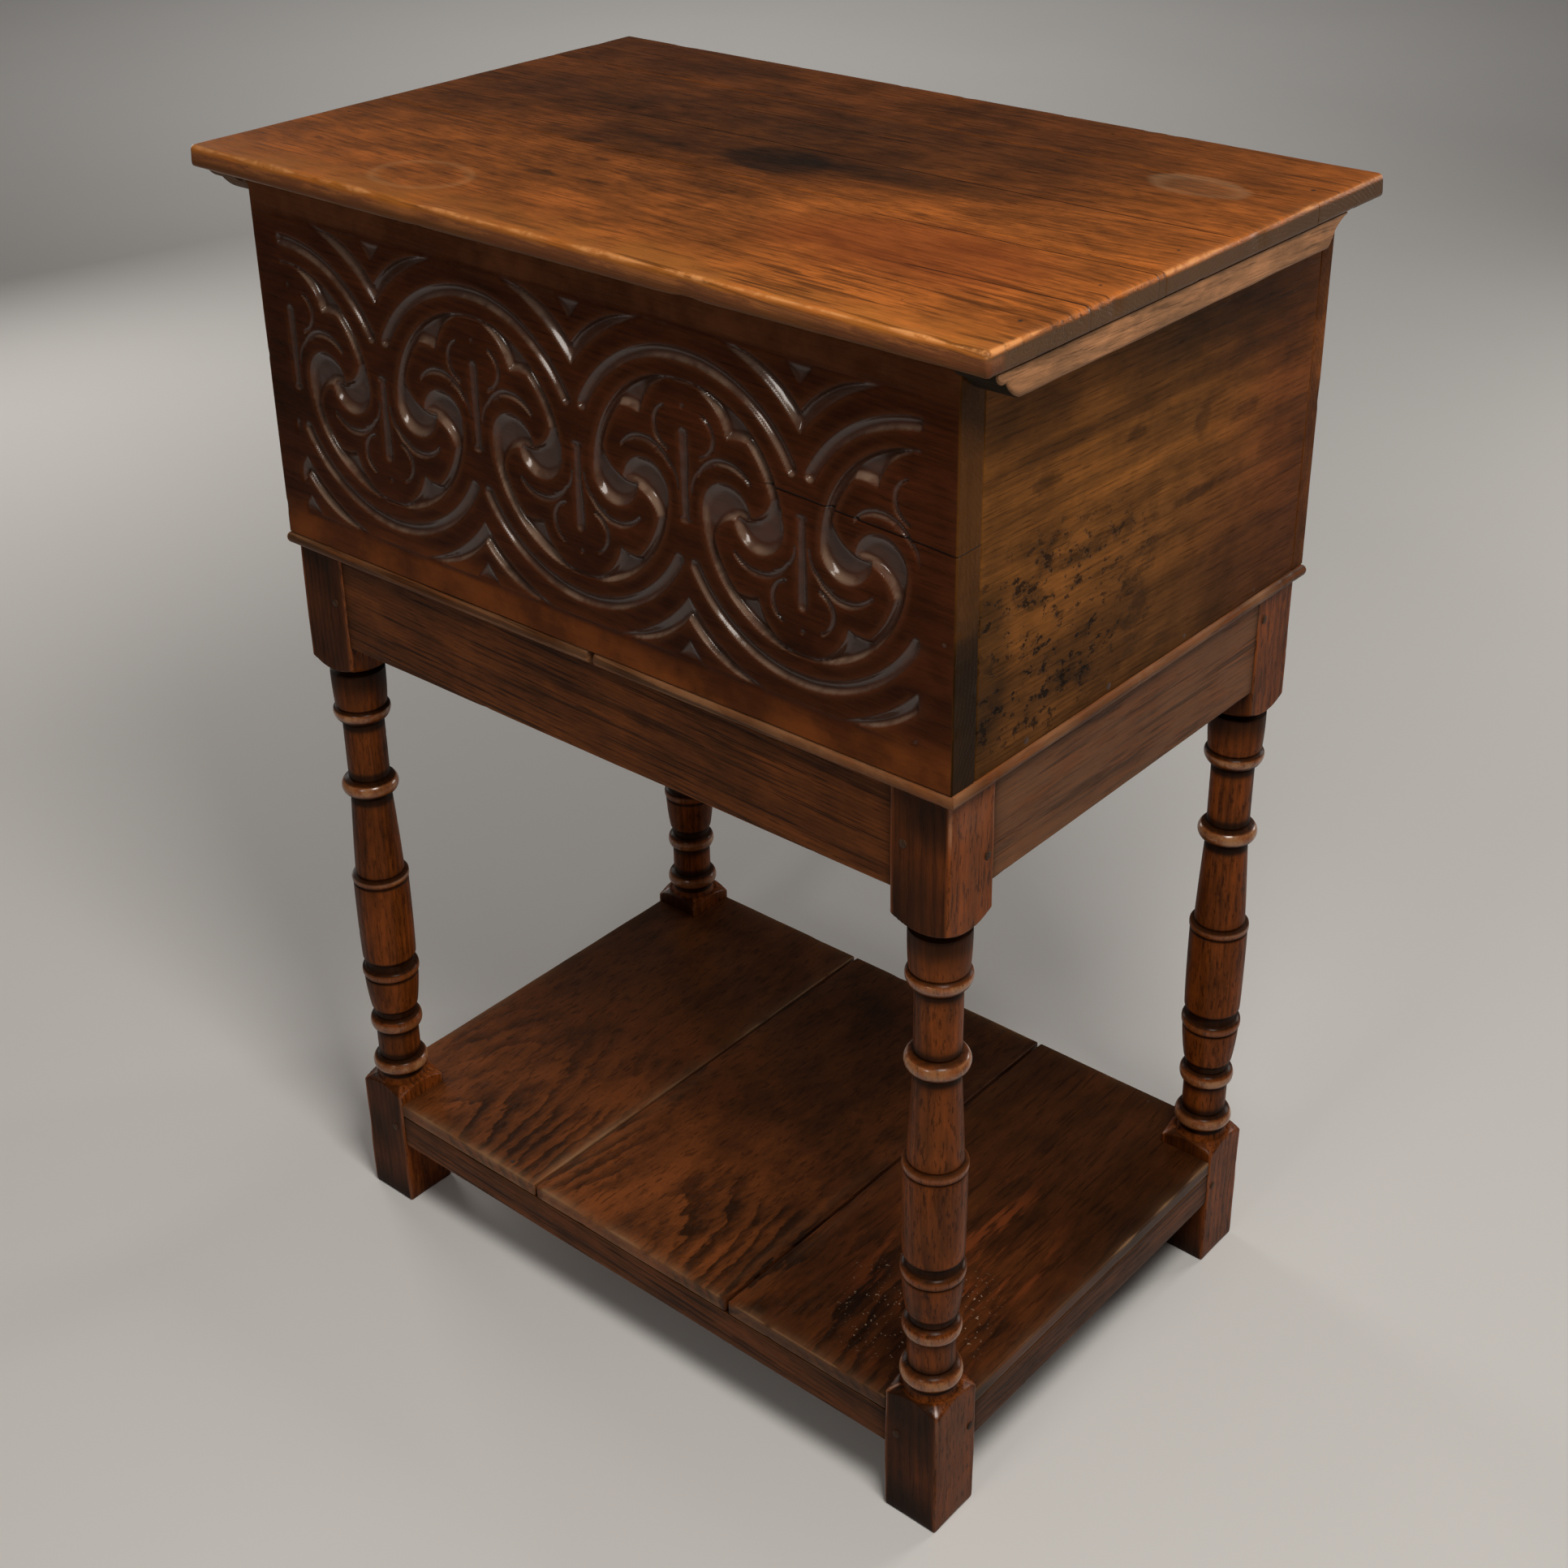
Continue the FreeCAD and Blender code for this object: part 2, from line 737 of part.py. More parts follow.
def make_stand():
    """Legs, aprons, stretchers and the pegs that hold them."""
    apron_pegs = apron_peg_places()
    stretcher_pegs = stretcher_peg_places()
    holes = [peg_hole(place) for place in apron_pegs + stretcher_pegs]
    leg = front_right_leg(holes)
    back_holes = [mirrored(hole, front_to_back) for hole in holes]
    back_leg = mirrored(front_right_leg(back_holes), front_to_back)
    save("leg_front_right", leg)
    save("leg_front_left", mirrored(leg, left_to_right))
    save("leg_back_right", back_leg)
    save("leg_back_left", mirrored(back_leg, left_to_right))
    apron_level, stretcher_level = rail_levels()
    front_brads = brad_places(stand_width, leg_face_y)
    side_brads = brad_places(stand_depth, leg_face_x)
    brads = [brad(place) for place in front_brads]
    brad_holes = [brad_hole(place) for place in front_brads]
    brads += [mirrored(shape, front_to_back) for shape in brads]
    brad_holes += [mirrored(shape, front_to_back) for shape in brad_holes]
    for place in side_brads:
        for shapes, shape in ((brads, brad(place)), (brad_holes, brad_hole(place))):
            shape.rotate(centre, up, 90)
            shapes.append(shape)
            shapes.append(mirrored(shape, left_to_right))
    nail_holes = [nail_hole(place, shelf_nail_length) for place in shelf_nail_places()]
    for name, level, thickness in (("apron", apron_level, apron_thickness),
                                   ("stretcher", stretcher_level, stretcher_thickness)):
        cutters = holes + (brad_holes if name == "apron" else nail_holes)
        front = front_rail(thickness, level)
        right = right_rail(thickness, level)
        save(name + "_front", one_solid(front.cut(cutters)))
        save(name + "_back", one_solid(mirrored(front, front_to_back).cut(cutters)))
        save(name + "_right", one_solid(right.cut(cutters)))
        save(name + "_left", one_solid(mirrored(right, left_to_right).cut(cutters)))
    save_group("apron_pegs", [peg(place) for place in apron_pegs])
    save_group("stretcher_pegs", [peg(place) for place in stretcher_pegs])
    front_strip = moulding_strip(stand_width, leg_face_y)
    right_strip = moulding_strip(stand_depth, leg_face_x)
    right_strip.rotate(centre, up, 90)
    strips = {
        "moulding_front": front_strip,
        "moulding_back": mirrored(front_strip, front_to_back),
        "moulding_right": right_strip,
        "moulding_left": mirrored(right_strip, left_to_right),
    }
    for name, strip in strips.items():
        save(name, one_solid(strip.cut(brad_holes)))
    save_group("moulding_brads", brads)


def make_shelf():
    places = shelf_nail_places()
    slab = shelf_slab([nail_hole(place, shelf_nail_length) for place in places])
    for name, x_from, x_to in shelf_board_spans():
        window = block(x_from, x_to, -stand_depth, stand_depth, 0, frame_height)
        save(name, one_solid(slab.common(window)))
    save_group("shelf_nails", [nail(place, shelf_nail_length) for place in places])


def make_box():
    front_places = case_nail_places(-box_face_y, front_to_back)
    back_places = case_nail_places(box_face_y, front_to_back * -1)
    bottom_places = bottom_nail_places()
    holes = [nail_hole(place, case_nail_length) for place in front_places + back_places]
    holes += [nail_hole(place, bottom_nail_length) for place in bottom_places]
    for x in hinge_centres():
        holes.append(leaf_recess(x, False))
        for place in hinge_nail_places(x, False):
            holes.append(hinge_nail_hole(place, box_hinge_nail_length))
    for name, board in box_boards().items():
        save(name, one_solid(board.cut(holes)))
    save_group("box_front_nails", [nail(place, case_nail_length) for place in front_places])
    save_group("box_back_nails", [nail(place, case_nail_length) for place in back_places])
    save_group("box_bottom_nails", [nail(place, bottom_nail_length) for place in bottom_places])


def make_lid():
    places = cleat_nail_places()
    holes = [nail_hole(place, cleat_nail_length) for place in places]
    cleat = right_cleat()
    save("lid_cleat_right", one_solid(cleat.cut(holes)))
    save("lid_cleat_left", one_solid(mirrored(cleat, left_to_right).cut(holes)))
    for x in hinge_centres():
        holes.append(leaf_recess(x, True))
        for place in hinge_nail_places(x, True):
            holes.append(hinge_nail_hole(place, lid_hinge_nail_length))
    slab = lid_slab()
    for name, span in lid_board_spans().items():
        save(name, one_solid(lid_board(slab, span).cut(holes)))
    save_group("lid_cleat_nails", [nail(place, cleat_nail_length) for place in places])


def make_hinges():
    box_nails = []
    lid_nails = []
    for side, x in zip(("left", "right"), hinge_centres()):
        save("hinge_box_leaf_" + side, hinge_leaf(x, False))
        save("hinge_lid_leaf_" + side, hinge_leaf(x, True))
        save("hinge_pin_" + side, hinge_pin(x))
        box_nails += [hinge_nail(place, box_hinge_nail_length) for place in hinge_nail_places(x, False)]
        lid_nails += [hinge_nail(place, lid_hinge_nail_length) for place in hinge_nail_places(x, True)]
    save_group("hinge_box_nails", box_nails)
    save_group("hinge_lid_nails", lid_nails)


def main():
    os.makedirs("parts", exist_ok=True)
    make_stand()
    make_shelf()
    make_box()
    make_lid()
    make_hinges()


main()
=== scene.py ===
"""Bible box on stand: the worn, carved and turned oak pieces that stand round the fixed frame."""

import math

import bmesh
import bpy
import numpy as np
from bpy.props import FloatProperty, FloatVectorProperty, PointerProperty
from bpy.types import Operator, Panel, PropertyGroup
from mathutils import Matrix, Vector


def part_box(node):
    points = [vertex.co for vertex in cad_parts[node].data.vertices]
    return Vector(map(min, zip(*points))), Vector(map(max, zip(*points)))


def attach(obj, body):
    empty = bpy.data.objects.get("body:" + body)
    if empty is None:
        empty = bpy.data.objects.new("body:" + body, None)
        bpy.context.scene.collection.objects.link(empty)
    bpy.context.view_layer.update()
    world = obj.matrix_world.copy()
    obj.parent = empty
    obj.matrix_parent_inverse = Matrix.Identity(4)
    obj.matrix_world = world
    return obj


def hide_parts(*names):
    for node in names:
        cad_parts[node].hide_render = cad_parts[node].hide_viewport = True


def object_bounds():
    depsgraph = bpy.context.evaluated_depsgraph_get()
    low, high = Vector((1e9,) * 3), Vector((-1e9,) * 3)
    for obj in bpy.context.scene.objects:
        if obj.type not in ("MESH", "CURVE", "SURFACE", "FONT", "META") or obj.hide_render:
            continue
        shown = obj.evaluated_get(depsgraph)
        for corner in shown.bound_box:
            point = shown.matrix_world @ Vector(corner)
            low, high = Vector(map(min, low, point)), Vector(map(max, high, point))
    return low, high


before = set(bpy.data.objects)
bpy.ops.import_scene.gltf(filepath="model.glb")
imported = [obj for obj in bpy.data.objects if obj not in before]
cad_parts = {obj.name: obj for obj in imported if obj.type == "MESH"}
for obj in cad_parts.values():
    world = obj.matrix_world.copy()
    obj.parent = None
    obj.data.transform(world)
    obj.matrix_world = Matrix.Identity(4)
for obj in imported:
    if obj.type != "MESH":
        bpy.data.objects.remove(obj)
cad_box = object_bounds()

bl_info = {
    "name": "Bible Box on Stand",
    "version": (1, 0, 0),
    "blender": (4, 5, 0),
    "location": "View3D > Sidebar > Bible Box",
    "description": "Builds the carved oak box, its board lid and the turned stand",
    "category": "Add Mesh",
}

mm = 0.001
stand_body = "stand_and_box"
lid_body = "lid"
weld_distance = 0.001 * mm

# Directions as axis numbers
along_x, along_y, along_z = 0, 1, 2

# Height of the lid's top, and how many millimetres the stand's middle lies behind the origin
lid_top = 1016.4 * mm
row_shift = 7.75


# Sizes and colours that a user would change

def length(name, description, value):
    """A length property in millimetres, kept in metres."""
    return FloatProperty(name=name, description=description, default=value * mm, subtype="DISTANCE",
                         unit="LENGTH", precision=5)


def angle(name, description, degrees):
    """An angle property, given in degrees."""
    return FloatProperty(name=name, description=description, default=math.radians(degrees),
                         subtype="ANGLE", unit="ROTATION")


def power(name, description, watts):
    """A lamp's strength."""
    return FloatProperty(name=name, description=description, default=watts, unit="POWER")


def tone(name, description, value):
    """A wood or metal colour property."""
    return FloatVectorProperty(name=name, description=description, default=value, subtype="COLOR",
                               min=0.0, max=1.0, size=3)


class CarvingSizes(PropertyGroup):
    pitch: length("Pitch", "Distance between two lunettes of one row", 210)
    first_centre: length("First centre", "Place of a lower lunette from the middle of the board", 5.5)
    mid_height: length("Mid height", "Height of the line on which the lunettes stand", 842)
    half_height: length("Half height", "From the middle line to the border line", 125)
    left_end: length("Left end", "Left end of the carved field", -318)
    right_end: length("Right end", "Right end of the carved field", 316)
    relief: length("Relief", "Depth of the deepest ground", 5.0)
    cell: length("Cell", "Distance between two points of the carved surface", 1.4)


class TurningSizes(PropertyGroup):
    arris: length("Arris", "Round of the corners of the leg blocks", 2.4)
    shoulder_drop: length("Shoulder drop", "Height over which a block's corners are turned away", 8)
    quirk: length("Quirk", "Depth of the fine line cut beside each ring", 0.7)
    row: length("Row", "Distance between two rings of points", 1.3)


class BoardSizes(PropertyGroup):
    lid_nose: length("Lid nose", "Round of the lid's upper edge", 5.5)
    lid_under: length("Lid underside", "Round of the lid's lower edge", 4.0)
    arris: length("Arris", "Round of the edges of the case boards", 1.6)
    shelf_arris: length("Shelf arris", "Round of the shelf boards' edges", 2.5)
    rail_arris: length("Rail arris", "Round of the rails' edges", 1.4)
    joint_ease: length("Joint ease", "Round of the edges where two boards meet", 0.7)
    wander: length("Wander", "How far old surfaces dip below their true plane", 0.5)


class WoodTones(PropertyGroup):
    lid: tone("Lid", "Waxed top, orange brown", (0.280, 0.079, 0.0125))
    cleat: tone("Cleat", "Dry wood of the cleats", (0.300, 0.140, 0.062))
    carved: tone("Carved front", "Dark red brown front", (0.047, 0.0118, 0.0036))
    case: tone("Case", "Golden brown sides", (0.168, 0.061, 0.0113))
    turned: tone("Legs", "Brown turned legs", (0.140, 0.033, 0.0048))
    rail: tone("Rails", "Brown rails and mouldings", (0.101, 0.0285, 0.0060))
    shelf: tone("Shelf", "Dark brown shelf", (0.122, 0.034, 0.0080))
    peg: tone("Pegs", "Dark end grain of the pegs", (0.060, 0.028, 0.014))
    inside: tone("Bare inside", "Unwaxed wood inside the box", (0.165, 0.074, 0.027))
    worn: tone("Worn wood", "Tan of edges rubbed bare", (0.360, 0.200, 0.105))
    iron: tone("Iron", "Blackened iron of the hinges", (0.045, 0.038, 0.034))
    rust: tone("Rust", "Rust on the nails", (0.080, 0.038, 0.022))
    floor: tone("Floor", "Pale studio floor", (0.80, 0.79, 0.775))


class StageSizes(PropertyGroup):
    camera_place: FloatVectorProperty(name="Camera place", description="Where the camera stands",
                                      default=(1.1076, -1.2781, 1.4671), subtype="TRANSLATION",
                                      unit="LENGTH")
    camera_turn: angle("Camera turn", "Heading, to the left of straight ahead", 40.27)
    camera_dip: angle("Camera dip", "How far the camera looks down", 27.113)
    camera_roll: angle("Camera roll", "Tilt of the camera to one side", -0.632)
    lens: FloatProperty(name="Lens", description="Focal length in millimetres on a 36 mm sensor",
                        default=52.31, unit="CAMERA")
    key_light: power("Key light", "Strength of the main soft light", 27.0)
    fill_light: power("Fill light", "Strength of the soft light in front", 8.5)
    back_light: power("Back light", "Strength of the lamp over the far floor", 26.0)
    rear_light: power("Rear light", "Strength of the soft light behind the box", 30.0)
    side_light: power("Side light", "Strength of the soft light on the left", 16.0)
    room_light: FloatProperty(name="Room light", description="Strength of the even light all round",
                              default=0.09)


property_groups = {
    "bible_box_carving": CarvingSizes,
    "bible_box_turning": TurningSizes,
    "bible_box_boards": BoardSizes,
    "bible_box_tones": WoodTones,
    "bible_box_stage": StageSizes,
}


# Shapes

def smooth(value, start, end):
    """Rises smoothly from 0 at start to 1 at end."""
    share = np.clip((value - start) / (end - start), 0.0, 1.0)
    return share * share * (3 - 2 * share)


def noise(points, lump, seed=0.0):
    """Smooth repeatable noise from -1 to 1, with lumps of the given size or sizes."""
    spot = np.asarray(points) / np.asarray(lump) + 17.31 * seed
    cell = np.floor(spot)
    part = spot - cell
    part = part * part * (3 - 2 * part)
    total = np.zeros(len(spot))
    for corner in np.ndindex(2, 2, 2):
        weight = np.prod(np.where(np.array(corner) == 1, part, 1 - part), axis=1)
        mixed = np.sin((cell + corner) @ np.array((127.1, 311.7, 74.7)))
        total += weight * np.mod(mixed * 43758.5453, 1.0)
    return 2 * total - 1


def places(low, high, low_round, high_round, cell):
    """Places from low to high, close together over the round of each end and a cell apart between."""
    bend = 1 - np.tan(np.radians((45.0, 33.75, 22.5, 11.25)))
    span = high - low - low_round - high_round
    middle = np.linspace(low + low_round, high - high_round, max(2, round(span / cell) + 1))
    return np.concatenate([low + low_round * bend, middle, (high - high_round * bend)[::-1]])


def slab(xs, ys, zs, keep=None, plain_bottom=False):
    """A closed board of small quads on rows of places; keep says which cells in plan are wood.
    A plain bottom is one face inside a narrow margin."""
    across = (len(xs), len(ys), len(zs))
    wood = np.zeros((across[0] + 1, across[1] + 1), bool)
    wood[1:-1, 1:-1] = True if keep is None else keep
    inside = wood[1:-1, 1:-1]
    i, j = np.nonzero(inside)
    top = across[2] - 1

    def cells(*corners):
        """One quad for each cell i, j; corners are steps along x, y and z."""
        return np.stack([np.stack([i + a, j + b, 0 * i + k], 1) for a, b, k in corners], 1)

    quads = [cells((0, 0, top), (1, 0, top), (1, 1, top), (0, 1, top))]
    if not plain_bottom:
        quads.append(cells((0, 0, 0), (0, 1, 0), (1, 1, 0), (1, 0, 0)))
    # for each side of a cell: the step to the cell beyond, and the ends of the edge between them
    sides = (((1, 0), ((1, 0), (1, 1))), ((-1, 0), ((0, 1), (0, 0))),
             ((0, 1), ((1, 1), (0, 1))), ((0, -1), ((0, 0), (1, 0))))
    for (step_x, step_y), (start, end) in sides:
        beyond = wood[1 + step_x:across[0] + step_x, 1 + step_y:across[1] + step_y]
        i, j = np.nonzero(inside & ~beyond)
        for k in range(top):
            quads.append(cells((*start, k), (*end, k), (*end, k + 1), (*start, k + 1)))
    key = np.concatenate(quads) @ np.array((1, across[0], across[0] * across[1]))
    used, faces = np.unique(key, return_inverse=True)
    faces = faces.reshape(-1, 4)
    points = np.stack([xs[used % across[0]], ys[used // across[0] % across[1]],
                       zs[used // (across[0] * across[1])]], 1)
    faces = faces.tolist()
    if plain_bottom:
        points, faces = close_bottom(points, faces, used, across)
    return points, faces


def close_bottom(points, faces, used, across):
    """Closes the open bottom of a slab with a narrow margin and one face."""
    wide, deep = across[0], across[1]
    loop = [(i, 0) for i in range(wide - 1)] + [(wide - 1, j) for j in range(deep - 1)]
    loop += [(i, deep - 1) for i in range(wide - 1, 0, -1)] + [(0, j) for j in range(deep - 1, 0, -1)]
    rim = np.searchsorted(used, [i + wide * j for i, j in loop])
    margin = 4 * mm
    low = points.min(axis=0) + margin
    high = points.max(axis=0) - margin
    inner = points[rim].copy()
    inner[:, :2] = np.clip(inner[:, :2], low[:2], high[:2])
    first = len(points)
    corners = {}
    order = []
    for spot in inner:
        name = tuple(np.round(spot[:2] / weld_distance))
        order.append(corners.setdefault(name, len(corners)))
    extra = np.zeros((len(corners), 3))
    for spot, number in zip(inner, order):
        extra[number] = spot
    for n, at in enumerate(rim):
        after = (n + 1) % len(rim)
        ring = [int(rim[after]), int(at), first + order[n], first + order[after]]
        faces.append(list(dict.fromkeys(ring)))
    floor = list(dict.fromkeys(first + number for number in order))
    faces.append(floor[::-1])
    return np.concatenate([points, extra]), faces


def rounded(points, low, high, radius):
    """Points of a box moved onto one with rounded edges, and the way each one faces."""
    radius = np.broadcast_to(radius, len(points))[:, None]
    core = np.clip(points, low + radius, high - radius)
    away = points - core
    far = np.linalg.norm(away, axis=1, keepdims=True)
    facing = away / np.maximum(far, weld_distance)
    return core + facing * radius * (far > weld_distance), facing


def in_log(points, grain, heart, lean=(0.0, 0.0), seed=0.0):
    """Where each point lies in its tree: along the trunk, then across it from the heart."""
    middle = (points.min(axis=0) + points.max(axis=0)) / 2
    spot = (points - middle)[:, [grain, (grain + 1) % 3, (grain + 2) % 3]]
    spot[:, 1] += heart[0] + lean[0] * spot[:, 0]
    spot[:, 2] += heart[1] + lean[1] * spot[:, 0]
    spot[:, 0] += 1.7 * seed
    return spot


def plank(low, high, edge, cell, seed, under=None, joints=(), ease=0.7 * mm, wander=0.4 * mm,
          keep=None, rows=None, rub=0.5):
    """An old board: rounded and worn edges, a surface that dips, and marks of wear and dirt.
    joints lists (axis, side) of the sides that meet another board and stay nearly square, and rub
    is how far wear reaches in from an edge, as a share of its round."""
    low = np.array(low, float)
    high = np.array(high, float)
    under = edge if under is None else under
    if rows is None:
        ends = [[edge, edge] for _ in range(3)]
        for axis, side in joints:
            ends[axis][side] = ease
        rows = [places(low[a], high[a], ends[a][0], ends[a][1], cell) for a in range(3)]
    flat, faces = slab(*rows, keep=keep(rows) if keep else None)
    open_low = low.copy()
    open_high = high.copy()
    for axis, side in joints:
        (open_low, open_high)[side][axis] += (2 * side - 1) * 4 * edge
    gaps = np.sort(np.minimum(flat - open_low, open_high - flat), axis=1)
    near_edge = np.exp(-gaps[:, 1] / (0.9 * edge))
    rubbed = np.exp(-gaps[:, 1] / (rub * edge))
    radius = np.where(flat[:, 2] > (low[2] + high[2]) / 2, edge, under)
    radius = radius * (0.84 + 0.16 * noise(flat, 38 * mm, seed))
    points, facing = rounded(flat, open_low, open_high, radius)
    dip = 0.5 + 0.5 * noise(flat, 110 * mm, seed + 2)
    small = 0.5 + 0.5 * noise(flat, 24 * mm, seed + 4)
    chips = near_edge * smooth(noise(flat, 11 * mm, seed + 5), 0.5, 0.95)
    points -= facing * (wander * (0.7 * dip + 0.3 * small) + 0.9 * mm * chips)[:, None]
    for axis, side in joints:
        gap = np.abs(flat[:, axis] - (low, high)[side][axis])
        share = np.clip(1 - gap / ease, 0, 1)
        points -= facing * (ease * (1 - np.sqrt(1 - share ** 2)) * (1 - near_edge))[:, None]
    wear = rubbed * (0.70 + 0.45 * noise(flat, 30 * mm, seed + 6)) * (1 - 0.8 * chips)
    return points, faces, flat, facing, {"wear": np.clip(wear, 0, 1), "grime": 0.6 * chips}


def tube_faces(steps, count):
    """The faces of a closed tube with flat ends, on rings of count points that follow each other."""
    faces = []
    for step in range(steps - 1):
        for n in range(count):
            after = (n + 1) % count
            faces.append([step * count + n, step * count + after,
                          (step + 1) * count + after, (step + 1) * count + n])
    faces.append(list(range(count))[::-1])
    faces.append([(steps - 1) * count + n for n in range(count)])
    return faces


def solids_of(node):
    """The boxes of the separate solids of a CAD node, as low and high corners, in mesh order."""
    work = bmesh.new()
    work.from_mesh(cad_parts[node].data)
    bmesh.ops.remove_doubles(work, verts=work.verts, dist=weld_distance)
    boxes = []
    for vert in work.verts:
        if vert.tag:
            continue
        vert.tag = True
        waiting = [vert]
        found = []
        while waiting:
            at = waiting.pop()
            found.append(tuple(at.co))
            for edge in at.link_edges:
                other = edge.other_vert(at)
                if not other.tag:
                    other.tag = True
                    waiting.append(other)
        found = np.array(found)
        boxes.append((found.min(axis=0), found.max(axis=0)))
    work.free()
    return boxes


def node_box(node):
    """A node's low and high corners as arrays."""
    low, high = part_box(node)
    return np.array(low), np.array(high)


def make_piece(name, points, faces, finish, nodes, body, marks):
    """Makes a piece from points and faces, dresses it, hangs it on its body and hides the nodes it stands
    for.
    """
    mesh = bpy.data.meshes.new(name)
    mesh.from_pydata(np.asarray(points).tolist(), [], faces)
    if mesh.validate():
        raise RuntimeError(f"{name} has faulty faces")
    mesh.shade_smooth()
    mesh.set_sharp_from_angle(angle=math.radians(50))
    for mark, values in marks.items():
        values = np.asarray(values, np.float32)
        kind = "FLOAT_VECTOR" if values.ndim == 2 else "FLOAT"
        layer = mesh.attributes.new(mark, kind, "POINT")
        layer.data.foreach_set("vector" if values.ndim == 2 else "value", values.ravel())
    mesh.materials.append(finish)
    piece = bpy.data.objects.new(name, mesh)
    bpy.context.scene.collection.objects.link(piece)
    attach(piece, body)
    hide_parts(*nodes)


# Finishes

class Finish:
    """One material built from nodes; each step returns the socket that holds its result."""

    def __init__(self, name):
        self.material = bpy.data.materials.new(name)
        self.material.use_nodes = True
        self.tree = self.material.node_tree
        self.shader = self.tree.nodes["Principled BSDF"]
        self.object_place = self.add("TexCoord", output="Object")

    def add(self, kind, output=0, inputs=None, **settings):
        node = self.tree.nodes.new("ShaderNode" + kind)
        for key, value in settings.items():
            setattr(node, key, value)
        for key, value in (inputs or {}).items():
            self.feed(node.inputs[key], value)
        return node.outputs[output]

    def feed(self, socket, value):
        if isinstance(value, bpy.types.NodeSocket):
            self.tree.links.new(value, socket)
        else:
            socket.default_value = value

    def math(self, operation, first, second=0.0, third=0.0, use_clamp=False):
        return self.add("Math", operation=operation, use_clamp=use_clamp,
                        inputs={0: first, 1: second, 2: third})

    def both(self, first, second):
        """The product of two masks or numbers."""
        return self.math("MULTIPLY", first, second)

    def parts(self, vector):
        """The three numbers of a vector."""
        return self.add("SeparateXYZ", inputs={0: vector}).node.outputs

    def total(self, *terms):
        """The sum of (socket, weight) pairs and numbers."""
        result = 0.0
        for term in terms:
            value, weight = term if isinstance(term, tuple) else (term, 1.0)
            result = self.math("MULTIPLY_ADD", value, weight, result)
        return result

    def mark(self, name, output="Fac"):
        return self.add("Attribute", output=output, attribute_name=name)

    def noise(self, vector, scale=1.0, detail=3.0, roughness=0.55, distortion=0.0):
        return self.add("TexNoise", inputs={"Vector": vector, "Scale": scale, "Detail": detail,
                                            "Roughness": roughness, "Distortion": distortion})

    def grain(self, vector, factors, detail, roughness=0.55, distortion=0.0):
        """Noise drawn out along some axes: each factor is the number of lumps in a metre."""
        stretched = self.add("VectorMath", operation="MULTIPLY", inputs={0: vector, 1: factors})
        return self.noise(stretched, 1.0, detail, roughness, distortion)

    def ease(self, value, start, end, low=0.0, high=1.0):
        """Maps start..end smoothly to low..high; start may be the larger."""
        return self.add("MapRange", interpolation_type="SMOOTHSTEP",
                        inputs={"Value": value, "From Min": start, "From Max": end,
                                "To Min": low, "To Max": high})

    def mix(self, share, first, second, blend="MIX"):
        node = self.tree.nodes.new("ShaderNodeMix")
        node.data_type = "RGBA"
        node.blend_type = blend
        self.feed(node.inputs[0], share)
        self.feed(node.inputs[6], first)
        self.feed(node.inputs[7], second)
        return node.outputs[2]

    def patch(self, centre, size, turn=0.0, soft=0.6, ragged=0.5, lump=22.0):
        """A soft, ragged oval: 1 inside, 0 outside. Sizes are half widths in metres."""
        spot = self.add("Mapping", vector_type="TEXTURE",
                        inputs={"Vector": self.object_place, "Location": centre,
                                "Rotation": (0, 0, turn), "Scale": size})
        far = self.add("VectorMath", operation="LENGTH", output=1, inputs={0: spot})
        rough = self.noise(self.object_place, lump, 4, 0.6)
        far = self.total(far, (rough, ragged), -0.5 * ragged)
        return self.ease(far, 1.0 + soft / 2, 1.0 - soft / 2)

    def crack(self, grain, across, start, end, place, slope=0.0, width=0.5, waver=3.0):
        """A split along the grain: 1 inside it. Lengths are in millimetres, start < end."""
        axes = self.parts(self.object_place)
        run, side = axes[grain], axes[across]
        wave = self.grain(self.object_place, (14, 14, 14), 2)
        line = self.total((run, slope), (wave, waver * mm), (place - 0.5 * waver) * mm - slope * start * mm)
        gap = self.math("ABSOLUTE", self.math("SUBTRACT", side, line))
        inside = self.ease(gap, (width + 0.7) * mm, 0.4 * width * mm)
        begins = self.ease(run, (start - 6) * mm, (start + 6) * mm)
        ends = self.ease(run, (end + 6) * mm, (end - 6) * mm)
        return self.both(inside, self.both(begins, ends))


def shade(colour, factor, red=1.0):
    """A colour made darker or lighter, as a four-part colour."""
    return (min(1, colour[0] * factor * red), min(1, colour[1] * factor), min(1, colour[2] * factor), 1.0)


def blend(first, second, share):
    """A four-part colour part of the way from one colour to another."""
    return tuple((1 - share) * a + share * b for a, b in zip(first[:3], second[:3])) + (1.0,)


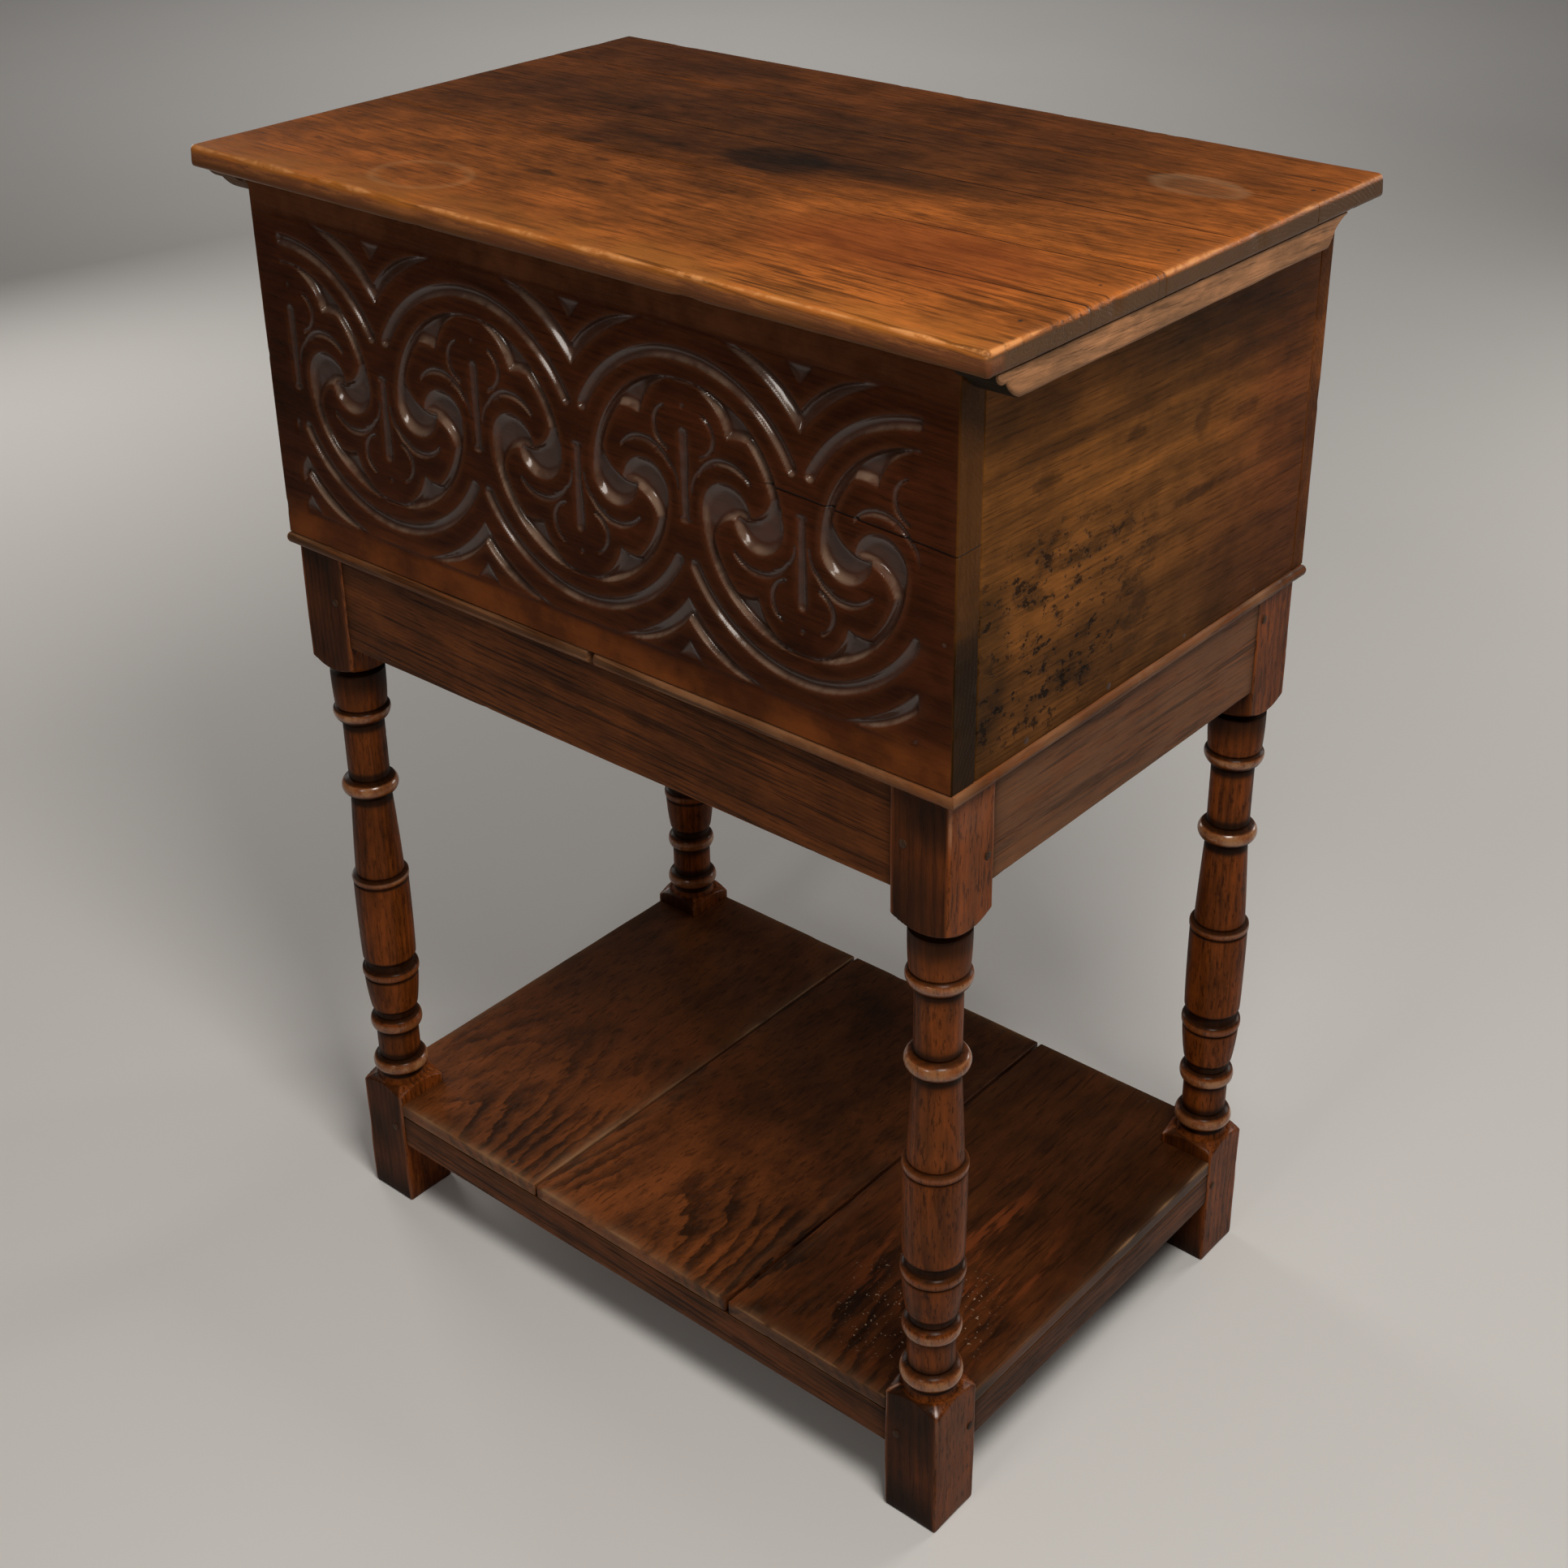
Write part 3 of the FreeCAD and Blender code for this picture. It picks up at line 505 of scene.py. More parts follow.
def oak(name, tones, key, ring_gap=4.5, figure=0.3, fibres=0.7, streaks=0.6, mottle=0.7, clouds=0.5,
        pores=0.5, lines=0.3, gloss=(0.30, 0.52), coat=0.0, wear_gain=0.6, bare=0.5, ripple=0.6, sway=0.6,
        fade=None):
    """Old oak: growth rings cut from a log, fibres, streaks, patina, pores, wear and dirt, and the painted
    highlights and painted shade that some pieces carry in their wear and dirt marks.
    bare is how far wear comes down to tan wood, and fade holds an axis and the places between
    which the rings die away. Colour, height in millimetres and roughness stay open to change."""
    f = Finish(name)
    colour = getattr(tones, key)
    log = f.mark("log", "Vector")
    in_trunk = f.parts(log)
    slow = f.grain(log, (3.0, 9.0, 9.0), 2, 0.5)
    quick = f.grain(log, (22.0, 60.0, 60.0), 3, 0.6)
    squares = [f.both(part, part) for part in in_trunk[1:]]
    radius = f.math("SQRT", f.math("ADD", *squares))
    place = f.total(radius, (slow, 0.030 * sway), (quick, 0.0055 * ripple))
    phase = f.math("FRACT", f.math("DIVIDE", place, ring_gap * mm))
    ring = f.both(f.ease(phase, 0.0, 0.12), f.ease(phase, 0.80, 0.15))
    if fade:
        axis = f.parts(f.object_place)[fade[0]]
        ring = f.both(ring, f.ease(axis, fade[2], fade[1], 0.12, 1.0))
        shown = f.noise(f.object_place, 8.0, 2, 0.5)
        ring = f.both(ring, f.ease(shown, 0.44, 0.56, 0.15, 1.0))
    fibre = f.grain(log, (16.0, 260.0, 260.0), 6, 0.70)
    streak = f.grain(log, (2.2, 48.0, 48.0), 4, 0.55)
    blots = f.grain(log, (18.0, 46.0, 46.0), 6, 0.68, 0.4)
    line = f.grain(log, (4.5, 290.0, 290.0), 4, 0.6)
    fine = f.grain(log, (34.0, 800.0, 800.0), 3, 0.6)
    pore = f.both(f.ease(fine, 0.53, 0.63), f.ease(ring, 0.0, 0.6, 0.45, 1.0))
    cloud = f.noise(f.object_place, 4.5, 4, 0.55)
    blotch = f.noise(f.object_place, 19.0, 4, 0.6)
    depth = f.total((ring, 0.5 * figure), (fibre, fibres), (streak, streaks), (blots, mottle),
                    (cloud, clouds), (blotch, 0.5 * clouds),
                    0.45 - 0.5 * (fibres + streaks + mottle + 1.5 * clouds) - 0.12 * figure)
    ramp = f.add("ValToRGB", inputs={0: depth})
    stops = ramp.node.color_ramp
    stops.elements[0].position = 0.10
    stops.elements[0].color = shade(colour, 1.75, 1.02)
    stops.elements[1].position = 0.90
    stops.elements[1].color = shade(colour, 0.25, 0.92)
    middle = stops.elements.new(0.45)
    middle.color = shade(colour, 1.0)
    f.colour = f.mix(f.both(pore, pores), ramp, shade(colour, 0.20))
    f.colour = f.mix(f.ease(line, 0.55, 0.62, 0.0, lines), f.colour, shade(colour, 0.18))
    f.wear = f.mark("wear")
    f.grime = f.mark("grime")
    # the wear mark is real wear, and on the legs and the lid's arris also a painted highlight
    scuffs_and_highlights = f.both(f.wear, f.ease(blots, 0.38, 0.60, 0.45, 1.0))
    f.colour = f.mix(f.both(scuffs_and_highlights, wear_gain), f.colour,
                     blend(shade(colour, 2.4, 0.98), tones.worn, bare))
    # the dirt mark is real dirt, and on some pieces also painted shade in hollows, under parts and on sides
    # turned from the light
    f.colour = f.mix(f.both(f.grime, 0.85), f.colour, shade(colour, 0.16, 0.8))
    f.height = f.total((pore, -0.10), (fibre, 0.10), (ring, -0.05), (blotch, 0.10))
    f.rough = f.total((blotch, gloss[1] - gloss[0]), (pore, 0.14), (f.grime, 0.18), (f.wear, -0.04),
                      gloss[0] - 0.04)
    f.blotch, f.cloud, f.streak, f.fibre, f.coat = blotch, cloud, streak, fibre, coat
    return f


def close_finish(f, metal=0.0, strength=0.8, shine=0.14, coat_blur=0.20):
    """Connects a finish's colour, height and roughness to its shader and returns the material."""
    f.feed(f.shader.inputs["Base Color"], f.colour)
    f.feed(f.shader.inputs["Roughness"], f.math("ADD", f.rough, 0.0, use_clamp=True))
    f.shader.inputs["Metallic"].default_value = metal
    f.shader.inputs["Specular IOR Level"].default_value = shine
    f.shader.inputs["Specular Tint"].default_value = (1.0, 0.84, 0.70, 1.0) if metal == 0 else (1, 1, 1, 1)
    f.feed(f.shader.inputs["Coat Weight"], f.coat)
    f.shader.inputs["Coat Roughness"].default_value = coat_blur
    bump = f.add("Bump", inputs={"Strength": strength, "Distance": mm, "Height": f.height})
    f.feed(f.shader.inputs["Normal"], bump)
    return f.material


def darken(f, mask, strength, factor=0.2, sink=0.0, red=1.0):
    """Stains a finish where the mask is, and sinks it by some millimetres."""
    f.colour = f.mix(f.both(mask, strength), f.colour, shade((1, 1, 1), factor, red), "MULTIPLY")
    if sink:
        f.height = f.total(f.height, (mask, -sink))


def bare_face(f, mask, colour):
    """Unwaxed, dusty wood where the mask is, with the finish's own streaks."""
    grain = f.ease(f.total((f.streak, 0.45), (f.fibre, 0.30), (f.blotch, 0.25)), 0.40, 0.60)
    f.colour = f.mix(mask, f.colour, f.mix(grain, shade(colour, 1.35), shade(colour, 0.55)))


def tint(f, mask, strength, colour):
    """Mixes a colour into a finish where the mask is."""
    share = mask if strength is None else f.both(mask, strength)
    f.colour = f.mix(share, f.colour, colour + (1,))


def once(name, build):
    """The named material, built the first time it is asked for."""
    return bpy.data.materials.get(name) or build(name, bpy.context.scene.bible_box_tones)


def lid_oak(name, tones):
    """Waxed lid boards: orange at the front, dull behind, with dark rounds where wet things stood."""
    f = oak(name, tones, "lid", ring_gap=3.2, figure=0.10, fibres=0.65, streaks=0.40, mottle=1.20,
            clouds=1.05, pores=0.55, lines=0.50, gloss=(0.32, 0.50), wear_gain=0.85, bare=0.45,
            ripple=0.2, sway=0.3)
    x, y, z = f.parts(f.object_place)

    def spot(along, back, wide, deep, turn, soft, ragged, lump):
        """An oval on the lid: place and half widths in millimetres, the turn in degrees."""
        return f.patch((along * mm, (back + row_shift) * mm, lid_top), (wide * mm, deep * mm, 0.5),
                       math.radians(turn), soft, ragged, lump)

    def stain(rows):
        """Darkens ovals: each row is a spot, then the strength, the darkness and the redness."""
        for *place, strength, factor, red in rows:
            darken(f, spot(*place), strength, factor, red=red)

    back = f.ease(f.total(y, (f.cloud, 0.30), (f.blotch, 0.10), -0.20), -0.15, 0.06)
    dull_end = f.ease(f.total(x, (f.cloud, 0.20), -0.10), 0.28, 0.16, 0.15, 1.0)
    darken(f, f.both(back, dull_end), 0.66, 0.30, red=1.1)
    stain((
        (0, 75, 330, 120, 0, 0.9, 0.7, 9, 0.30, 0.45, 1.00),
        (40, 60, 190, 80, 4, 1.0, 0.8, 11, 0.55, 0.30, 0.85),
        (-60, -30, 120, 34, 8, 0.9, 0.8, 16, 0.42, 0.25, 1.00),
        (9, -13, 46, 31, 0, 0.5, 0.35, 30, 0.72, 0.10, 0.75),
        (120, 2, 100, 20, 4, 0.9, 0.7, 22, 0.62, 0.12, 0.80),
    ))
    tint(f, spot(225, -132, 105, 55, 0, 0.9, 0.8, 16), 0.55, (0.190, 0.036, 0.006))
    tint(f, f.ease(y, -0.200, -0.240), f.ease(f.blotch, 0.35, 0.65, 0.2, 0.7), (0.40, 0.135, 0.022))
    ring = f.math("SUBTRACT", spot(-172, -205, 44, 36, 0, 0.15, 0.12, 20),
                  spot(-172, -205, 37, 30, 0, 0.35, 0.12, 20), use_clamp=True)
    tint(f, ring, 0.30, (0.50, 0.24, 0.09))
    stain((
        (-106, -146, 15, 5, 4, 0.9, 0.9, 60, 0.65, 0.20, 0.8),
        (300, 170, 110, 70, 0, 0.9, 0.6, 12, 0.25, 0.25, 1.0),
        (-310, 190, 120, 50, 0, 0.9, 0.6, 12, 0.50, 0.22, 1.0),
    ))
    dots = ((-141, -58, 11), (-96, -93, 9), (-106, -140, 5), (-316, -183, 6), (-200, -40, 8), (180, -60, 6))
    stain((along, back, size, 0.45 * size, 0, 0.9, 0.9, 70, 0.55, 0.14, 1.0) for along, back, size in dots)
    pale = spot(292, 118, 40, 24, -6, 0.25, 0.45, 26)
    hollow = spot(294, 114, 31, 16, -6, 0.6, 0.5, 26)
    tint(f, f.both(pale, f.math("SUBTRACT", 1.0, f.both(hollow, 0.62))), 0.26, (0.42, 0.25, 0.13))
    for start, end, place, slope, width, waver in (
            (-216, 376, 31, 0.004, 0.45, 5.0), (239, 381, -146, 0.01, 0.4, 4.0),
            (-381, -290, 60, 0.02, 0.3, 4.0), (150, 381, -70, 0.015, 0.2, 4.0),
            (-120, 60, 95, -0.01, 0.2, 4.0)):
        darken(f, f.crack(along_x, along_y, start, end, place, slope, width, waver), 0.9, 0.08, 1.2)
    lines = f.ease(f.grain(f.mark("log", "Vector"), (2.6, 170.0, 170.0), 4), 0.52, 0.62)
    front_right = f.ease(f.total(y, (x, -0.35)), -0.14, -0.30)
    darken(f, f.both(lines, front_right), 0.72, 0.24, 0.15)
    front_edge = f.ease(y, -0.233, -0.240)
    nose = f.both(f.ease(z, 1.0125, 1.0090), front_edge)
    tint(f, f.both(f.ease(x, 0.3765, 0.3790), f.both(f.ease(z, 1.0142, 1.0110), 0.95)), None,
         (0.078, 0.040, 0.018))
    tint(f, nose, 0.65, (0.270, 0.098, 0.036))
    # painted shade: the lower half of the nose, which faces down, is made darker
    low_nose = f.ease(f.total(z, (f.blotch, 0.004), -0.002), 1.0085, 1.0030)
    darken(f, f.both(low_nose, front_edge), 0.85, 0.30, red=0.95)
    # the upper arris: worn, and painted lighter as a highlight line
    arris = f.both(f.ease(f.wear, 0.30, 0.75), f.ease(z, 1.0095, 1.0130))
    crumbs = f.noise(f.object_place, 95.0, 4, 0.65)
    tint(f, arris, f.ease(crumbs, 0.38, 0.58, 0.15, 0.95), (0.60, 0.255, 0.085))
    pits = f.ease(f.noise(f.object_place, 240.0, 2, 0.5), 0.70, 0.75)
    darken(f, f.both(pits, f.ease(f.blotch, 0.48, 0.60)), 0.7, 0.15, 0.2)
    # painted reflections: dark mottled smudges on the nose
    nose_reflections = f.ease(f.grain(f.object_place, (22, 110, 110), 6, 0.72), 0.44, 0.58)
    tint(f, f.both(nose, nose_reflections), 0.62, (0.115, 0.036, 0.016))
    bare_face(f, f.ease(z, 1.0015, 0.9995), (0.150, 0.062, 0.021))
    return close_finish(f)


def cleat_oak(name, tones):
    """Dry, dusty wood of the battens under the lid's ends, with painted shade where the lid hangs over
    them.
    """
    f = oak(name, tones, "cleat", ring_gap=3.4, figure=0.2, fibres=0.8, streaks=0.4, mottle=1.3,
            clouds=0.6, gloss=(0.46, 0.66), wear_gain=0.6)
    # painted shade: the faces that lie in the lid's shadow are darkened
    darken(f, f.ease(f.grime, 0.60, 0.95), 0.95, 0.12)
    return close_finish(f)


def carved_oak(name, tones):
    """Dark polished front: glossy ridges, dull dusty grounds, tool marks in the hollows, painted highlights
    on the walls that face the light and painted shade on those that face away.
    """
    f = oak(name, tones, "carved", ring_gap=4.0, figure=0.15, fibres=0.4, streaks=0.5, mottle=0.9,
            clouds=0.8, pores=0.4, lines=0.25, gloss=(0.24, 0.42), wear_gain=0.35, bare=0.10)
    cut = f.mark("cut")
    ledge = f.mark("ledge")
    chatter = f.grain(f.object_place, (90, 90, 90), 2, 0.5)
    dust = f.both(f.ease(cut, 0.05, 0.40), f.ease(f.blotch, 0.3, 0.7, 0.55, 1.0))
    tint(f, dust, 0.55, (0.072, 0.034, 0.022))
    # painted highlight: the ledges that face the light are made paler, in patches
    highlight_patches = f.grain(f.object_place, (42, 42, 42), 3, 0.6)
    lit = f.both(f.ease(ledge, 0.15, 0.90), f.ease(highlight_patches, 0.38, 0.62, 0.22, 1.0))
    tint(f, lit, 0.78, (0.215, 0.135, 0.090))
    f.height = f.total(f.height, (f.both(chatter, cut), 0.20))
    f.coat = f.both(f.ease(cut, 0.04, 0.30, 0.0, 0.90), f.ease(f.grime, 0.5, 0.1))
    x, y, z = f.parts(f.object_place)
    uncut = f.ease(cut, 0.10, 0.0)
    low_edge = f.both(f.ease(f.total(z, (f.cloud, 0.05), -0.025), 0.735, 0.700), uncut)
    tint(f, low_edge, f.ease(f.blotch, 0.35, 0.65, 0.25, 0.9), (0.190, 0.050, 0.010))
    # painted light: the plain band under the lid is lightened to lift the lid's shadow
    top_edge = f.both(f.ease(z, 0.955, 0.978), uncut)
    tint(f, top_edge, f.ease(f.blotch, 0.35, 0.65, 0.30, 0.9), (0.135, 0.044, 0.016))
    from_middle = f.math("ABSOLUTE", x)
    end_face = f.ease(from_middle, 0.3418, 0.3434)
    golden = f.mix(f.ease(f.total((f.cloud, 0.5), (f.blotch, 0.5)), 0.40, 0.60), shade(tones.case, 0.50),
                   shade(tones.case, 0.95))
    f.colour = f.mix(f.both(end_face, 0.92), f.colour, golden)
    end_lines = f.grain(f.object_place, (60, 420, 22), 4, 0.6)
    darken(f, f.both(end_face, f.ease(end_lines, 0.46, 0.62)), 0.30, 0.50)
    split = f.crack(along_x, along_z, 186, 344, 874, -0.055, 0.35, 2.5)
    darken(f, split, 0.95, 0.05, 1.5)
    stained = f.both(end_face, f.ease(f.total(z, (f.blotch, 0.08), -0.04), 0.85, 0.77))
    darken(f, stained, 0.88, 0.10, red=0.7)
    inner_face = f.both(f.ease(y, -0.2045, -0.2022), f.ease(from_middle, 0.3400, 0.3370))
    bare_face(f, inner_face, tones.inside)
    return close_finish(f, shine=0.04, coat_blur=0.13)


def case_oak(name, tones):
    """Golden brown sides with darker bands and black stains low towards the front."""
    f = oak(name, tones, "case", ring_gap=4.2, figure=0.12, fibres=0.45, streaks=0.9, mottle=0.9,
            clouds=1.1, pores=0.45, lines=0.25, gloss=(0.42, 0.60), wear_gain=0.25, bare=0.3, ripple=0.3,
            sway=0.4)
    x, y, z = f.parts(f.object_place)
    right_face = 0.344

    def spot(back, up, deep, high, ragged, lump):
        """An oval on the right side; place and half widths in millimetres."""
        return f.patch((right_face, (back + row_shift) * mm, up * mm), (0.06, deep * mm, high * mm),
                       0.0, 0.9, ragged, lump)

    darken(f, f.ease(f.total(z, (f.cloud, 0.12), -0.06), 0.80, 0.72), 0.58, 0.28)
    for *place, strength, factor, red in (
            (0, 905, 260, 7, 0.7, 14, 0.50, 0.30, 1.0), (150, 930, 170, 40, 0.8, 11, 0.60, 0.35, 1.0),
            (-170, 900, 60, 60, 0.8, 13, 0.35, 0.30, 1.0), (150, 780, 110, 70, 0.7, 10, 0.35, 0.45, 1.2)):
        darken(f, spot(*place), strength, factor, red=red)
    red_back = f.ease(f.total(y, (f.cloud, 0.16), -0.08), 0.02, 0.20)
    darken(f, f.both(red_back, f.ease(y, 0.2365, 0.2345)), 0.80, 0.58, red=1.35)
    darken(f, spot(-200, 770, 26, 80, 0.8, 16), 0.60, 0.10, red=0.7)
    flecks = f.grain(f.object_place, (70, 85, 130), 5, 0.75)
    clots = f.grain(f.object_place, (30, 26, 60), 4, 0.65)
    small = f.ease(f.total((flecks, 0.75), (clots, 0.30)), 0.560, 0.610)
    smoke = f.ease(clots, 0.50, 0.62)
    darken(f, f.both(small, spot(-122, 798, 112, 52, 0.9, 17)), 0.80, 0.05, 0.3, red=0.9)
    darken(f, f.both(small, spot(-125, 732, 100, 36, 0.9, 20)), 0.85, 0.05, 0.3, red=0.9)
    darken(f, f.both(smoke, spot(-110, 772, 125, 75, 0.9, 12)), 0.55, 0.18, red=0.9)
    for back, up, deep, high in ((58, 868, 10, 12), (-12, 752, 9, 10), (120, 858, 20, 6), (-30, 885, 14, 5),
                                 (-140, 884, 16, 5), (60, 812, 30, 4)):
        darken(f, spot(back, up, deep, high, 1.9, 70), 0.50, 0.15, 0.15)
    darken(f, f.ease(y, 0.2345, 0.2365), 0.75, 0.72, red=1.30)
    inside = f.both(f.ease(f.math("ABSOLUTE", x), 0.338, 0.330), f.ease(y, 0.2300, 0.2260))
    bare_face(f, f.both(inside, 0.80), tones.inside)
    return close_finish(f, shine=0.04)


def turned_oak(name, tones):
    """Turned legs: streaked brown, dark in the hollows, polished on the rings, with painted highlights and
    painted shade from the legs' marks.
    """
    f = oak(name, tones, "turned", ring_gap=6.0, figure=0.35, fibres=0.7, streaks=0.6, mottle=1.3,
            clouds=0.9, pores=0.45, lines=0.25, gloss=(0.38, 0.54), wear_gain=0.85, bare=0.20,
            ripple=0.8, sway=0.6)
    f.coat = f.ease(f.wear, 0.25, 0.8, 0.08, 0.95)
    flecks = f.grain(f.mark("log", "Vector"), (85.0, 400.0, 400.0), 3, 0.6)
    darken(f, f.both(f.ease(flecks, 0.54, 0.62), f.ease(f.grime, 0.45, 0.20)), 0.60, 0.16, 0.1)
    worn_through = f.noise(f.object_place, 85.0, 4, 0.70)
    # tan on worn crests, which is also a painted highlight on the rings' upper faces and the lit side
    tint(f, f.ease(f.wear, 0.42, 0.90), f.ease(worn_through, 0.42, 0.60, 0.12, 0.72), (0.380, 0.185, 0.078))
    # dirt, and painted shade in the hollows, under the rings and blocks and on the sides away from the
    # light
    darken(f, f.ease(f.grime, 0.45, 0.90), 0.75, 0.35, red=0.9)
    return close_finish(f, shine=0.06)


def rail_oak(name, tones):
    """Aprons, stretchers and mouldings: brown, waxed, with fine straight grain."""
    f = oak(name, tones, "rail", ring_gap=3.6, figure=0.2, fibres=0.7, streaks=0.9, mottle=1.0,
            clouds=0.7, pores=0.6, lines=0.85, gloss=(0.36, 0.52), wear_gain=0.70, bare=0.60, ripple=0.4,
            sway=0.4)
    streaks = f.grain(f.mark("log", "Vector"), (1.8, 130.0, 130.0), 4, 0.55)
    darken(f, f.ease(streaks, 0.56, 0.64), 0.65, 0.22, 0.15)
    return close_finish(f, shine=0.08)


def shelf_oak(name, tones):
    """Shelf boards: strong dark flames, purple brown at the back, pale specks of old paint."""
    f = oak(name, tones, "shelf", ring_gap=12.0, figure=1.00, fibres=0.55, streaks=0.6, mottle=0.9,
            clouds=1.0, pores=0.5, lines=0.5, gloss=(0.34, 0.50), wear_gain=1.0, bare=0.75,
            ripple=3.2, sway=0.8, fade=(along_y, -0.16, 0.02))
    x, y = f.parts(f.object_place)[:2]
    darken(f, f.ease(f.total(y, (f.cloud, 0.16), -0.08), -0.10, 0.08), 0.75, 0.32, red=0.90)
    darken(f, f.ease(f.total(x, (f.cloud, 0.10), -0.05), 0.07, 0.15), 0.62, 0.35, red=1.05)
    glow = f.ease(f.grain(f.mark("log", "Vector"), (9.0, 60.0, 60.0), 4, 0.6), 0.52, 0.62)
    near_leg = f.patch((0.245, -0.07, 0.115), (0.075, 0.12, 0.2), 0.3, 0.8, 0.6, 15.0)
    tint(f, f.both(glow, near_leg), 0.75, (0.185, 0.042, 0.010))
    tint(f, f.ease(f.wear, 0.38, 0.85), f.ease(f.blotch, 0.35, 0.60, 0.35, 0.95), (0.270, 0.145, 0.070))
    speck = f.ease(f.noise(f.object_place, 330.0, 2, 0.5), 0.66, 0.70)
    area = f.patch((0.245, -0.13, 0.115), (0.06, 0.06, 0.2), 0.5, 0.8, 0.8, 20.0)
    tint(f, speck, area, (0.40, 0.27, 0.18))
    return close_finish(f)


def peg_oak(name, tones):
    """Nearly black ends of the wooden pegs."""
    f = oak(name, tones, "peg", ring_gap=2.0, figure=0.5, gloss=(0.4, 0.6))
    return close_finish(f)


def iron(name, colour, rust):
    """Forged iron, blackened, with rust in its pits."""
    f = Finish(name)
    pits = f.noise(f.object_place, 420.0, 5, 0.65)
    broad = f.noise(f.object_place, 60.0, 4, 0.6)
    rusty = f.ease(f.total((pits, 0.6), (broad, 0.6)), 0.55, 0.75)
    f.colour = f.mix(rusty, shade(colour, 1.0), shade(rust, 1.0))
    f.colour = f.mix(f.ease(pits, 0.42, 0.30), f.colour, shade(colour, 0.35))
    f.height = f.total((pits, 0.30), (broad, 0.35))
    f.rough = f.total((rusty, 0.25), 0.45)
    f.coat = 0.0
    return close_finish(f, metal=0.6, shine=0.5)


def hinge_iron(name, tones):
    """Blackened iron of the hinges."""
    return iron(name, tones.iron, tones.rust)


def nail_iron(name, tones):
    """Rusted iron of the nails."""
    return iron(name, tones.rust, tones.iron)


# Lid

class BuildLid(Operator):
    """Builds the three lid boards with bullnosed outer edges and close joints"""
    bl_idname = "bible_box.lid"
    bl_label = "Lid Boards"

    def execute(self, context):
        sizes = context.scene.bible_box_boards
        finish = once("waxed_lid_oak", lid_oak)
        boards = (
            ("front", ((along_y, 1),), (0.05, 0.16), (0.03, 0.05), 1),
            ("middle", ((along_y, 0), (along_y, 1)), (-0.02, 0.11), (-0.04, 0.06), 2),
            ("back", ((along_y, 0),), (0.07, 0.14), (0.02, -0.05), 3),
        )
        # dents in the edges: the place, the reach and the depth in millimetres
        dents = (
            ((381, -116, 1010), 5, 2.2), ((352, -251, 1012), 9, 1.6), ((-120, -251, 1013), 14, 1.2),
            ((140, -251, 1002), 12, 1.4), ((381, 60, 1012), 8, 1.5),
        )
        for row, joints, heart, lean, seed in boards:
            node = "lid_board_" + row
            low, high = node_box(node)
            points, faces, flat, facing, marks = plank(
                low, high, sizes.lid_nose, 5 * mm, seed, sizes.lid_under, joints,
                sizes.joint_ease, sizes.wander, rub=0.75)
            for centre, reach, depth in dents:
                gap = np.linalg.norm(flat - np.array(centre) * mm, axis=1)
                points -= facing * (depth * mm * np.exp(-(gap / (reach * mm)) ** 2))[:, None]
            marks["log"] = in_log(flat, along_x, heart, lean, seed)
            make_piece(f"lid_{row}_plank", points, faces, finish, [node], lid_body, marks)
        return {"FINISHED"}


